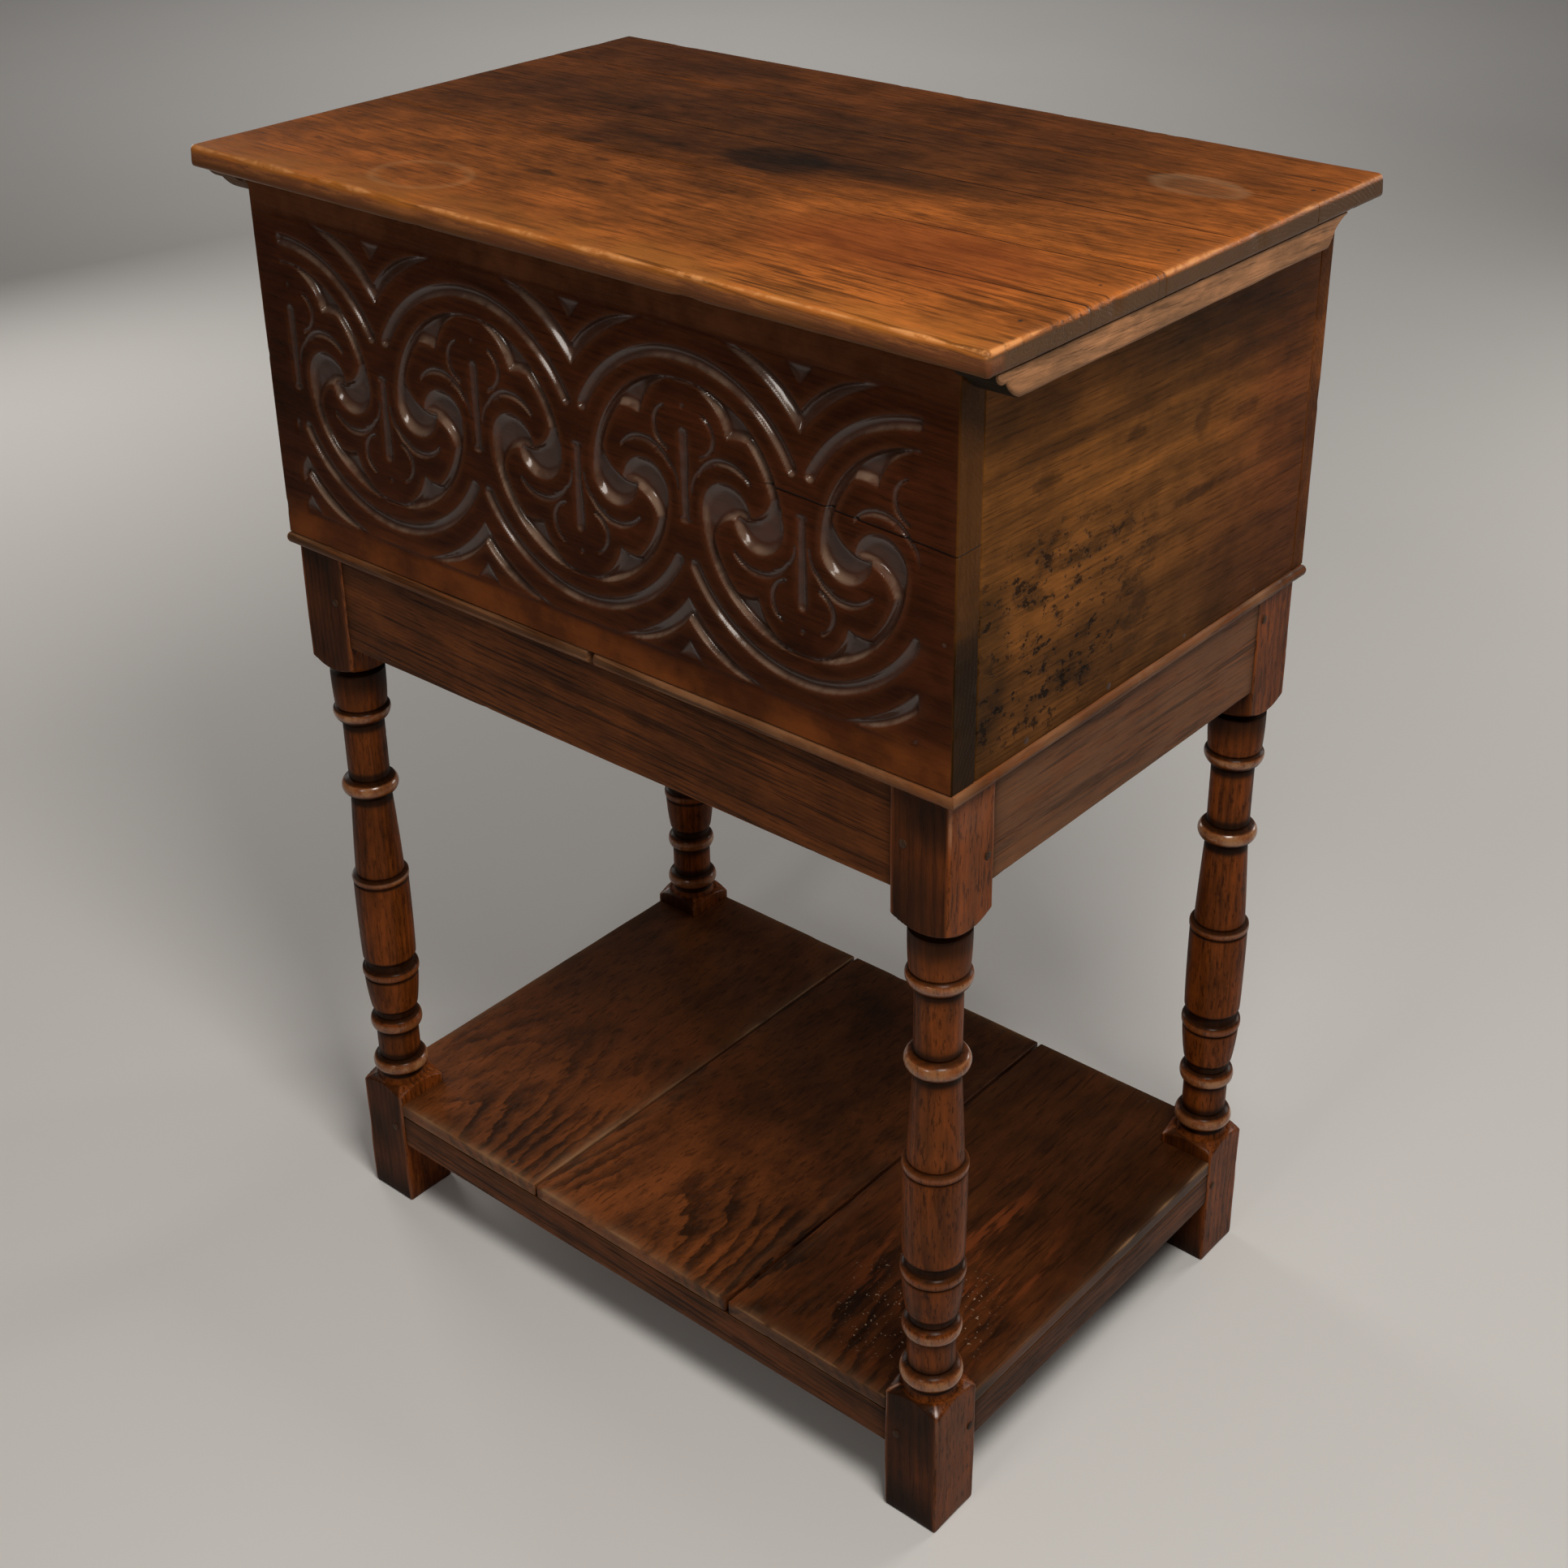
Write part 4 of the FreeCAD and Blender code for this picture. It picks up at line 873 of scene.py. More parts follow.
class BuildCleats(Operator):
    """Builds the moulded cleats under the lid's ends"""
    bl_idname = "bible_box.cleats"
    bl_label = "Lid Cleats"

    # the moulded front end, from the tip back: a lobe, a fine line, a toe; and the hollow heel
    lobe_reach = 10 * mm
    lobe_height = 10.5 * mm
    toe_reach = 25 * mm
    toe_bulge = 1.8 * mm
    quirk_depth = 1.2 * mm
    quirk_width = 1.5 * mm
    heel_reach = 24 * mm
    heel_hollow = 4 * mm
    heel_tip = 1.5 * mm
    least_height = 1.2 * mm
    outer_round = 5 * mm
    inner_round = 1.4 * mm
    set_back = 9 * mm

    def underside(self, y, front, back, height):
        """How far the cleat reaches down at each depth."""
        ahead = y - front
        lobe = self.lobe_height * np.sqrt(np.clip(1 - (1 - ahead / self.lobe_reach) ** 2, 0, 1))
        share = np.clip((ahead - self.lobe_reach) / (self.toe_reach - self.lobe_reach), 0, 1)
        toe = self.lobe_height + share * (height - self.lobe_height)
        toe += self.toe_bulge * np.sin(math.pi * share)
        quirk = self.quirk_depth * np.exp(-((ahead - self.lobe_reach) / self.quirk_width) ** 2)
        down = np.where(ahead < self.lobe_reach, lobe, np.minimum(toe, height)) - quirk
        behind = np.clip((back - y) / self.heel_reach, 0, 1)
        heel = self.heel_tip + behind * (height - self.heel_tip)
        heel -= self.heel_hollow * np.sin(math.pi * behind)
        return np.maximum(np.minimum(down, heel), self.least_height)

    def painted_lid_shade(self, points, side, low, high):
        """Painted shade on the faces that lie in the lid's shadow, most of it near the front end."""
        outer_x = low[0] if side == "left" else high[0]
        hidden = smooth(np.abs(points[:, 0] - outer_x), 1.5 * mm, 3 * mm)
        hidden *= 0.35 + 0.65 * smooth(points[:, 1], low[1] + 60 * mm, low[1] + 25 * mm)
        if side == "left":
            front = smooth(points[:, 1], low[1] + 60 * mm, low[1] + 10 * mm)
            hidden = np.maximum(0.75 * hidden, 0.55 * front)
        return hidden

    def execute(self, context):
        for side in ("left", "right"):
            self.build(side, once("dry_cleat_oak", cleat_oak))
        return {"FINISHED"}

    def build(self, side, finish):
        """One cleat: a bar that follows the underside's line, with its lower outer edge rounded."""
        low, high = node_box("lid_cleat_" + side)
        low[1] += self.set_back
        xs = places(low[0], high[0], self.outer_round, self.outer_round, 5 * mm)
        tip = np.arange(0.3, 27, 0.7) * mm
        heel = np.arange(0.3, 26, 1.0) * mm
        middle = np.arange(low[1] + 29 * mm, high[1] - 28 * mm, 5 * mm)
        ys = np.concatenate([low[1] + tip, middle, (high[1] - heel)[::-1]])
        flat, faces = slab(xs, ys, np.linspace(0, 1, 12))
        down = self.underside(flat[:, 1], low[1], high[1], high[2] - low[2])
        outer = flat[:, 0] * np.sign(low[0]) > abs(low[0] + high[0]) / 2
        radius = np.where(outer & (flat[:, 2] < 0.5), self.outer_round, self.inner_round)
        radius = np.minimum(radius, 0.42 * down)[:, None]
        local = np.stack([flat[:, 0], flat[:, 1], flat[:, 2] * down], 1)
        floor = np.array((low[0], low[1] - 1, 0))
        roof = np.stack([0 * down + high[0], 0 * down + high[1] + 1, down], 1)
        core = np.clip(local, floor + radius, roof - radius)
        away = local - core
        away[:, 1] = 0
        far = np.linalg.norm(away, axis=1, keepdims=True)
        facing = away / np.maximum(far, weld_distance)
        points = np.where(far > weld_distance, core + facing * radius, local)
        points[:, 1] = flat[:, 1]
        points[:, 2] += high[2] - down
        lumps = 0.5 + 0.5 * noise(points, 26 * mm, 5)
        points -= facing * (0.5 * mm * lumps)[:, None]
        wear = np.clip(1.2 * np.exp(-(points[:, 2] - high[2] + down) / (4 * mm)), 0, 1) * lumps
        hidden = self.painted_lid_shade(points, side, low, high)
        # painted shade just under the lid
        under_lid = 0.8 * np.exp(-(high[2] - points[:, 2]) / (2.5 * mm))
        marks = {"wear": wear * (1 - hidden), "grime": np.maximum(under_lid, hidden),
                 "log": in_log(points, along_y, (0.04, 0.09), (0.02, 0.03), 5)}
        make_piece(f"moulded_cleat_{side}", points, faces, finish, [f"lid_cleat_{side}"], lid_body,
                   marks)


# Carved front

def arc_gap(u, h, centre, radius, start, end):
    """Distance to an arc, and how far along it each point is from 0 to 1. Angles in degrees."""
    du, dh = u - centre[0], h - centre[1]
    turn = np.degrees(np.arctan2(dh, du))
    share = np.clip((turn - start) / (end - start), 0, 1)
    nearest = np.radians(start + share * (end - start))
    gap = np.hypot(du - radius * np.cos(nearest), dh - radius * np.sin(nearest))
    return gap, share


def groove(gap, half_width, depth):
    """Depth of a round gouge cut at a distance from its middle line."""
    return depth * np.cos(math.pi / 2 * np.clip(gap / np.maximum(half_width, 0.05), 0, 1))


def trough(gap, wall):
    """Share of the full depth at a distance from a wall that rounds into the floor."""
    return np.sin(math.pi / 2 * np.clip(gap / wall, 0, 1))


def lunette(u, h, relief):
    """Depth cut by one lunette in millimetres: u is the distance from its middle, h towards its crown."""
    leaf_edge, band_inside, band_outside = 81, 89, 128
    reach = np.hypot(u, h)
    # the gouged line round the flat band, with blunt round ends
    gap, _ = arc_gap(u, h, (0, -4), 110, 28, 152)
    cut = groove(gap, 5.2, 3.3)
    # the crescent outside the band, deepest near its outer wall
    outer = 90 - np.hypot(u - 35, h - 35)
    crescent = trough(reach - band_outside, 9.0) * trough(outer, 4.0) * smooth(h, 66, 74)
    cut = np.maximum(cut, 0.92 * relief * crescent)
    # the leaf inside: a middle lobe, a side lobe and a bulb beside the hook
    leaf = np.minimum(np.hypot(u, h - 47) - 40, np.hypot(u - 52, h - 28) - 29)
    leaf = np.minimum(leaf, np.maximum(h - 45, reach - leaf_edge))
    leaf = np.maximum(leaf, reach - leaf_edge - 4.8 * smooth(u, 34, 22))
    bulb = np.hypot(u - 53.5, h - 27) - 25.5
    beside = smooth(u, 52, 56) * smooth(h, 28, 24)
    leaf = np.where((u > 53.5) & (h < 27), np.maximum(leaf, bulb), leaf)
    # the moat between leaf and band, the hook that carries it over the middle line and round the
    # neighbour's bulb, and the hook's last part below the line, between the points of the leaves
    moat = trough(band_inside - reach, 4.2) * trough(leaf, 5.5) * (h >= 0)
    inside = 22 - np.hypot(u - 67, h + 0.5)
    wall = 4.2 + 4.8 * np.clip(-h / 14, 0, 1)
    hook = trough(inside, wall) * trough(bulb, 6.5) * (h < 0)
    tail = trough(inside, 4.2) * trough(bulb, 5.5) * (h >= 0) * beside
    for part in (moat, hook, tail):
        cut = np.maximum(cut, relief * part)
    # tapered lines: the collar round the neighbour's hook and two petals that curl away from the
    # flower; after each arc come the least width, the swelling, its phase and span, and the depth
    for arc, thin, swell, phase, span, depth in (
            (((38, 8.5), 28.4, 40, 152), 1.0, 2.2, 0.1, 0.8, 2.0),
            (((10.5, 50.5), 16.5, -74, 66), 0.9, 1.7, 0.12, 0.8, 1.9),
            (((31, 6), 25, 100, 196), 0.8, 1.4, 0, 1, 1.3)):
        gap, share = arc_gap(u, h, *arc)
        width = thin + swell * np.sin(math.pi * (phase + span * share))
        cut = np.maximum(cut, groove(gap, width, depth))
    # the flower's stem that widens to the crown, the dot above it and the dash at its foot
    climb = np.clip(h, -13, 49)
    for gap, width, depth in ((np.hypot(u, h - climb), 3.6 + 1.6 * (climb + 13) / 62, 2.6),
                              (np.hypot(u, h - 69), 2.6, 1.4), (np.hypot(0.5 * u, h + 15), 3.2, 2.2)):
        cut = np.maximum(cut, groove(gap, width, depth))
    # the chip in the fin between two crescents
    chip = np.minimum(15 * (h - 106) / 19 - np.abs(u - 105), 0.9 * (125.5 - h))
    return np.maximum(cut, 1.6 * smooth(chip, 0, 6))


class BuildCarvedFront(Operator):
    """Carves the front board with its two rows of interlaced lunettes"""
    bl_idname = "bible_box.carved_front"
    bl_label = "Carved Front"

    margin_cell = 5 * mm

    def relief_at(self, x, z, sizes):
        """Depth of the carving in metres at each place of the front."""
        half = sizes.pitch / 2
        place = np.stack([x, z, 0 * x], 1)
        shift = noise(place, 60 * mm, 31) * 0.8 * mm
        across = np.abs(np.mod(x + shift - sizes.first_centre + half, sizes.pitch) - half) / mm
        up = (z - sizes.mid_height) / mm + noise(place, 55 * mm, 37) * 0.7
        relief = sizes.relief / mm
        border = sizes.half_height / mm
        cut = np.maximum(lunette(across, -up, relief), lunette(half / mm - across, up, relief))
        cut = np.maximum(cut, groove(np.abs(np.abs(up) - border), 0.9, 0.5))
        cut *= smooth(np.abs(up), border + 1.5, border - 0.5)
        ends = smooth(x, sizes.left_end, sizes.left_end + 4 * mm)
        ends *= smooth(x, sizes.right_end, sizes.right_end - 4 * mm)
        return cut * ends * mm

    def rows(self, low_end, high_end, fine_low, fine_high, cell, edge):
        """Places along the board, close together over the carved field and the rounded ends."""
        start = places(low_end, fine_low, edge, 0, self.margin_cell)[:-4]
        middle = np.arange(fine_low + cell, fine_high, cell)
        finish = places(fine_high, high_end, 0, edge, self.margin_cell)[4:]
        return np.concatenate([np.unique(start), middle, np.unique(finish)])

    def marks(self, flat, on_face, cut, xs, zs, near_edge):
        """Where the carving is rubbed, where it is darker at the bottom of deep grooves and has painted
        shade on the walls that face away from the light, and the ledges that face the light.
        """
        column = np.searchsorted(xs, flat[on_face, 0] - weld_distance)
        row = np.searchsorted(zs, flat[on_face, 1] - weld_distance)
        grid = np.zeros((len(xs), len(zs)))
        grid[column, row] = cut[on_face]
        proud = blurred(grid, 5) - grid
        slope_x, slope_z = np.gradient(grid, xs, zs)
        rise = 0.32 * slope_x + 0.85 * slope_z
        # dark_wall: darker at the bottom of deep grooves, and painted shade on the walls that face down and
        # left, away from the light
        dark_wall = np.maximum(0.45 * smooth(-proud, 1.2 * mm, 2.6 * mm), 0.95 * smooth(-rise, 0.35, 1.0))
        marks = {}
        # ledge: walls that face up and right, towards the light; the finish paints a highlight on them
        for mark, values in (("wear", smooth(proud, 0.15 * mm, 1.3 * mm)), ("grime", dark_wall),
                             ("ledge", np.clip(rise, 0, 1.2))):
            marks[mark] = np.zeros(len(flat))
            marks[mark][on_face] = values[column, row]
        rubbed_edge = near_edge * (0.5 + 0.5 * noise(flat, 26 * mm, 59))
        marks["wear"] = np.clip(np.maximum(marks["wear"], rubbed_edge), 0, 1)
        return marks

    def execute(self, context):
        sizes = context.scene.bible_box_carving
        edge = context.scene.bible_box_boards.arris
        low, high = node_box("box_front")
        xs = self.rows(low[0], high[0], sizes.left_end, sizes.right_end, sizes.cell, edge)
        zs = self.rows(low[2], high[2], sizes.mid_height - sizes.half_height,
                       sizes.mid_height + sizes.half_height, sizes.cell, edge)
        # the board lies on its back here: along, up, and out towards the front
        depth = high[1] - low[1]
        flat, faces = slab(xs, zs, places(0, depth, edge, edge, 9 * mm), plain_bottom=True)
        corner = np.array((low[0], low[2], 0))
        far_corner = np.array((high[0], high[2], depth))
        shape, facing = rounded(flat, corner, far_corner, edge * (0.8 + 0.2 * noise(flat, 30 * mm, 41)))
        on_face = flat[:, 2] > depth - weld_distance
        cut = np.where(on_face, self.relief_at(flat[:, 0], flat[:, 1], sizes), 0)
        gaps = np.sort(np.minimum(flat - corner, far_corner - flat), axis=1)
        near_edge = np.exp(-gaps[:, 1] / (3 * mm))
        dip = 0.5 + 0.5 * noise(flat, 70 * mm, 43)
        rough = noise(flat, 7 * mm, 47) * (1 + 2 * (cut > 0.5 * mm))
        chips = near_edge * smooth(noise(flat, 12 * mm, 53), 0.4, 0.9)
        shape -= facing * (0.35 * mm * dip + 0.06 * mm * rough + 0.8 * mm * chips)[:, None]
        shape[:, 2] -= cut
        points = np.stack([shape[:, 0], high[1] - shape[:, 2], shape[:, 1]], 1)
        marks = self.marks(flat, on_face, cut, xs, zs, near_edge)
        marks["cut"] = cut / sizes.relief
        marks["log"] = in_log(points, along_x, (0.14, 0.05), (0.02, 0.03), 8)
        make_piece("front_with_lunettes", points, faces, once("polished_carved_oak", carved_oak),
                   ["box_front"], stand_body, marks)
        return {"FINISHED"}


def blurred(grid, reach):
    """A grid averaged over a square of cells, reach cells each way."""
    for axis in (0, 1):
        pad = [(0, 0), (0, 0)]
        pad[axis] = (reach + 1, reach)
        total = np.cumsum(np.pad(grid, pad, mode="edge"), axis=axis)
        count = grid.shape[axis]
        ahead = np.take(total, range(2 * reach + 1, 2 * reach + 1 + count), axis=axis)
        behind = np.take(total, range(0, count), axis=axis)
        grid = (ahead - behind) / (2 * reach + 1)
    return grid


# Case, mouldings and rails

class BuildCase(Operator):
    """Builds the sides, back and bottom boards of the box"""
    bl_idname = "bible_box.case"
    bl_label = "Case Boards"

    def execute(self, context):
        sizes = context.scene.bible_box_boards
        finish = once("stained_case_oak", case_oak)
        boards = (
            ("case_side_plank_right", "box_side_right", along_y, (-0.13, 0.03), 11),
            ("case_side_plank_left", "box_side_left", along_y, (0.10, -0.04), 12),
            ("case_back_plank", "box_back", along_x, (0.12, 0.05), 13),
            ("case_floor_plank_front", "box_bottom_front", along_x, (0.03, 0.15), 14),
            ("case_floor_plank_back", "box_bottom_back", along_x, (-0.05, 0.12), 15),
        )
        for name, node, grain, heart, seed in boards:
            low, high = node_box(node)
            points, faces, flat, _, marks = plank(low, high, sizes.arris, 6 * mm, seed,
                                                  wander=sizes.wander)
            upright = high[2] - low[2] > 50 * mm
            # darker at the top of the upright boards, under the lid, and at their foot
            top = np.exp(-(high[2] - flat[:, 2]) / (10 * mm)) * upright
            foot = np.exp(-(flat[:, 2] - low[2]) / (5 * mm)) * upright
            marks["grime"] = np.clip(marks["grime"] + 0.55 * top + 0.6 * foot, 0, 1)
            marks["log"] = in_log(flat, grain, heart, (0.03, 0.02), seed)
            make_piece(name, points, faces, finish, [node], stand_body, marks)
        return {"FINISHED"}


class BuildMouldings(Operator):
    """Builds the mitred round-nosed strips under the box"""
    bl_idname = "bible_box.mouldings"
    bl_label = "Mouldings"

    nose_gap = 0.35 * mm
    nose = 4.2 * mm
    under_ease = 0.4 * mm
    steps = 181
    # the chip broken out of the front strip's nose; its depth is in millimetres
    break_place = 7.6 * mm
    break_width = 2.2 * mm
    break_depth = 6.5

    def section(self, strip, thick):
        """The strip's outline as (sideways, height) pairs, from its inner foot over the nose."""
        turns = np.radians(np.linspace(90, -90, 13))
        middle = thick / 2
        shares = (0.8, 0.6, 0.45, 0.36)
        outline = [(-strip, self.under_ease), (-strip, thick)]
        outline += [(-strip * share, thick) for share in shares]
        outline += [(self.nose * (math.cos(a) - 1), middle + middle * math.sin(a)) for a in turns]
        outline += [(-strip * share, 0.0) for share in shares[::-1]]
        return np.array(outline)

    def execute(self, context):
        low, high = node_box("moulding_right")
        half_wide = high[0] - self.nose_gap
        front_y = node_box("moulding_front")[0][1] + self.nose_gap
        back_y = node_box("moulding_back")[1][1] - self.nose_gap
        half_deep = (back_y - front_y) / 2
        centre_y = (front_y + back_y) / 2
        section = self.section(high[0] - low[0] - self.nose_gap, high[2] - low[2])
        runs = (("front", (1, 0), (0, -1)), ("back", (-1, 0), (0, 1)),
                ("right", (0, 1), (1, 0)), ("left", (0, -1), (-1, 0)))
        for number, (side, run, outward) in enumerate(runs):
            half_run, stand_off = (half_wide, half_deep) if run[0] else (half_deep, half_wide)
            self.build(side, number, run, outward, half_run, stand_off, section, centre_y, low[2])
        return {"FINISHED"}

    def build(self, side, number, run, outward, half_run, stand_off, section, centre_y, foot):
        """One strip along a side; run and outward are the directions along it and away from the box."""
        share = np.linspace(-1, 1, self.steps)
        count = len(section)
        out = section[:, 0][None, :]
        along = share * half_run
        line = np.stack([along, 0 * share, 0 * share + number], 1)
        rough = noise(line, 40 * mm, 61)
        dent = 0.35 * (0.5 + 0.5 * rough) + 0.5 * smooth(noise(line, 9 * mm, 67), 0.35, 0.9)
        if side == "front":
            dent += self.break_depth * np.exp(-((along - self.break_place) / self.break_width) ** 2)
        near_nose = smooth(section[:, 0], -2 * self.nose, -0.3 * self.nose)[None, :]
        reach = share[:, None] * (half_run + out)
        sideways = out + stand_off - dent[:, None] * near_nose * mm
        points = np.stack([run[0] * reach + outward[0] * sideways,
                           centre_y + run[1] * reach + outward[1] * sideways,
                           foot + section[:, 1][None, :] + 0 * reach], 2).reshape(-1, 3)
        wear = np.repeat(0.55 + 0.45 * rough, count) * np.tile(near_nose[0], self.steps)
        grime = np.repeat(smooth(dent, 2.0, 5.0), count)
        inner = np.tile(smooth(section[:, 0], -7 * mm, -9 * mm), self.steps)
        marks = {"wear": np.clip(wear * (1 - grime), 0, 1), "grime": np.maximum(grime, inner),
                 "log": in_log(points, along_x if run[0] else along_y, (0.05, 0.03), (0.01, 0.02),
                               20 + number)}
        make_piece(f"nosed_strip_{side}", points, tube_faces(self.steps, count),
                   once("waxed_rail_oak", rail_oak), [f"moulding_{side}"], stand_body, marks)


class BuildRails(Operator):
    """Builds the aprons under the box and the stretchers under the shelf"""
    bl_idname = "bible_box.rails"
    bl_label = "Aprons and Stretchers"

    bed_in_leg = 1.0 * mm

    def execute(self, context):
        sizes = context.scene.bible_box_boards
        finish = once("waxed_rail_oak", rail_oak)
        leg_low, leg_high = node_box("leg_front_right")
        end_x = leg_low[0] + self.bed_in_leg
        front_y = leg_high[1] - self.bed_in_leg
        back_y = node_box("leg_back_right")[0][1] + self.bed_in_leg
        seed = 70
        for kind in ("apron", "stretcher"):
            for side in ("front", "back", "left", "right"):
                node = f"{kind}_{side}"
                low, high = node_box(node)
                grain = along_x if side in ("front", "back") else along_y
                joints = ((grain, 0), (grain, 1))
                low[grain], high[grain] = (-end_x, end_x) if grain == along_x else (front_y, back_y)
                points, faces, flat, _, marks = plank(
                    low, high, sizes.rail_arris, 5 * mm, seed, joints=joints, wander=sizes.wander)
                run = flat[:, grain]
                ends = np.minimum(run - low[grain], high[grain] - run)
                shadow = 0.75 * np.exp(-ends / (5 * mm)) + 0.5 * np.exp(-(high[2] - flat[:, 2]) / (5 * mm))
                marks["grime"] = np.clip(marks["grime"] + shadow, 0, 1)
                # painted light: the right apron, which faces the key light, is made lighter all over
                # through the wear mark
                if node == "apron_right":
                    marks["wear"] = np.maximum(marks["wear"], 0.45)
                marks["log"] = in_log(flat, grain, (0.02 + 0.01 * (seed % 5), 0.05), (0.02, 0.035), seed)
                make_piece(f"{kind}_rail_{side}", points, faces, finish, [node], stand_body,
                           marks)
                seed += 1
        return {"FINISHED"}


# Legs

# The turned part of a leg upwards from the lower block, in millimetres:
# height of the member, then its diameter at its foot, middle and top
turned_members = (
    (9.5, 46, 41, 41), (15, 41, 51, 39), (31, 39, 39, 39), (15, 39, 48, 38.5), (8, 38.5, 38.5, 38.5),
    (37, 41.5, 47, 49), (10, 49, 52, 49), (9, 46, 43, 46), (83, 48.5, 50, 49.5), (8, 49.5, 51.5, 49.5),
    (83.5, 44, 40.5, 36), (16, 36, 50.5, 36.5), (58, 36.5, 36.5, 36.5), (14, 36.5, 49.5, 44.5),
    (37, 44.5, 47, 47),
)
lower_block = 129
upper_block = 112


def turned_radius(heights):
    """Radius of the turned part at each height above its foot."""
    radius = np.zeros(len(heights))
    base = 0.0
    for tall, foot, middle, top in turned_members:
        inside = (heights >= base - 1e-9) & (heights <= base + tall + 1e-9)
        share = (heights[inside] - base) / tall
        straight = foot + (top - foot) * share
        bow = middle - (foot + top) / 2
        radius[inside] = (straight + bow * np.sqrt(np.clip(1 - (2 * share - 1) ** 2, 0, 1)) ** 1.15) / 2
        base += tall
    return radius * mm


class BuildLegs(Operator):
    """Builds the four turned legs with their square blocks"""
    bl_idname = "bible_box.legs"
    bl_label = "Turned Legs"

    shoulder_radius = 25 * mm
    bulge = 1.2 * mm
    smoothing_reach = 12

    def square_radius(self, turn, half, arris):
        """Distance from the middle of a square with rounded corners to its side, at each angle."""
        fold = np.abs(np.mod(turn + math.pi / 4, math.pi / 2) - math.pi / 4)
        side = half / np.cos(fold)
        corner = half - arris
        along = corner * (np.cos(fold) + np.sin(fold))
        under = along ** 2 - 2 * corner ** 2 + arris ** 2
        at_corner = along + np.sqrt(np.maximum(under, 0))
        return np.where(np.tan(fold) * half > corner, at_corner, side)

    def execute(self, context):
        sizes = context.scene.bible_box_turning
        quadrant = np.concatenate([np.arange(0, 39, 5), (40, 42.2, 43.3, 44.2, 45, 45.8, 46.7, 47.8),
                                   np.arange(50, 90, 5)])
        turns = np.radians(np.concatenate([quadrant + 90 * q for q in range(4)]))
        legs = (
            ("front_right", (0.030, -0.012), 0.24, 0.0), ("front_left", (-0.020, 0.028), 0.05, 0.28),
            ("back_right", (0.012, 0.034), 0.02, 0.22), ("back_left", (-0.034, -0.010), 0.0, 0.28),
        )
        for number, (corner, heart, rubbed, dull) in enumerate(legs):
            self.build(corner, heart, number, turns, sizes, rubbed, dull)
        return {"FINISHED"}

    def rows(self, block_top, block_foot, top, sizes):
        """Heights of the rows of points, the part of each (-1 lower block, 0 turned, 1 upper block)
        and the heights between which the turned members stand."""
        drop = sizes.shoulder_drop
        ends = np.cumsum([0] + [member[0] for member in turned_members]) * mm + block_top
        fine = [np.linspace(a, b, max(5, round((b - a) / sizes.row) + 1))[:-1]
                for a, b in zip(ends[:-1], ends[1:])]
        turned = np.concatenate(fine + [[block_foot]])
        lower = np.concatenate([(0, 0.5 * mm, 1.4 * mm, 3 * mm), np.arange(8, 116, 5) * mm,
                                np.arange(block_top - drop - 4 * mm, block_top + 1e-9, 0.5 * mm)])
        upper = np.concatenate([np.arange(block_foot, block_foot + drop + 4 * mm, 0.5 * mm),
                                np.arange(block_foot + drop + 8 * mm, top - 2 * mm, 5 * mm), [top]])
        part = np.repeat((-1, 0, 1), (len(lower), len(turned), len(upper)))
        return np.concatenate([lower, turned, upper]), part, ends

    def profile(self, zs, is_turned, from_line, quirk):
        """Of each row of the turned part: its radius, how far it stands proud of the rows around it,
        and how far it faces down."""
        heights = zs[is_turned]
        radius = turned_radius((heights - lower_block * mm) / mm)
        radius -= quirk * np.exp(-(from_line[is_turned] / (0.9 * mm)) ** 2)
        window = 2 * self.smoothing_reach + 1
        padded = np.pad(radius, self.smoothing_reach, mode="edge")
        around = np.convolve(padded, np.ones(window) / window, "valid")
        slope = smooth(np.gradient(radius, heights), 0.15, 0.90)
        values = []
        for value in (radius, radius - around, slope):
            values.append(np.zeros(len(zs)))
            values[-1][is_turned] = value
        return values

    def build(self, corner, heart, number, turns, sizes, rubbed, dull):
        """One leg; rubbed is how far its front right side is worn and painted lighter where it faces the
        light, and dull is how much painted shade its turning takes.
        """
        low, high = node_box("leg_" + corner)
        half = (high[0] - low[0]) / 2
        centre = (low + high) / 2
        block_top = lower_block * mm
        block_foot = high[2] - upper_block * mm
        zs, part, ends = self.rows(block_top, block_foot, high[2], sizes)
        is_turned = part == 0
        in_block = ~is_turned[:, None]
        from_line = np.min(np.abs(zs[:, None] - ends[None, :]), axis=1)
        round_part, crest, facing_down = self.profile(zs, is_turned, from_line, sizes.quirk)
        crest *= (zs > block_top + 5 * mm) & (zs < block_foot - 36 * mm)
        z_grid, turn_grid = np.meshgrid(zs, turns, indexing="ij")
        spots = np.stack([np.cos(turn_grid) * half, np.sin(turn_grid) * half, z_grid], 2).reshape(-1, 3)
        lumps = noise(spots + centre, 32 * mm, 80 + number).reshape(z_grid.shape)
        pits = noise(spots + centre, 9 * mm, 85 + number).reshape(z_grid.shape)
        # the square blocks, with their corners turned away towards the round part
        square = self.square_radius(turn_grid, half, sizes.arris * (0.75 + 0.35 * lumps))
        from_shoulder = np.where(part < 0, block_top - zs, zs - block_foot)[:, None]
        share = np.clip(from_shoulder / sizes.shoulder_drop, 0, 1)
        diagonal = half * math.sqrt(2)
        turned_away = self.shoulder_radius + (diagonal - self.shoulder_radius) * share
        turned_away = turned_away + self.bulge * np.sin(math.pi * share)
        turned_away = np.where(share >= 1, 2 * diagonal, turned_away)
        radius = np.where(in_block, np.minimum(square, turned_away), round_part[:, None])
        foot = np.exp(-zs / (1.5 * mm))[:, None] * 1.6 * mm * (zs < 10 * mm)[:, None]
        radius = radius - foot - 0.20 * mm * (0.5 + 0.5 * lumps) - 0.25 * mm * smooth(pits, 0.5, 0.9)
        points = np.stack([centre[0] + radius * np.cos(turn_grid), centre[1] + radius * np.sin(turn_grid),
                           z_grid], 2).reshape(-1, 3)
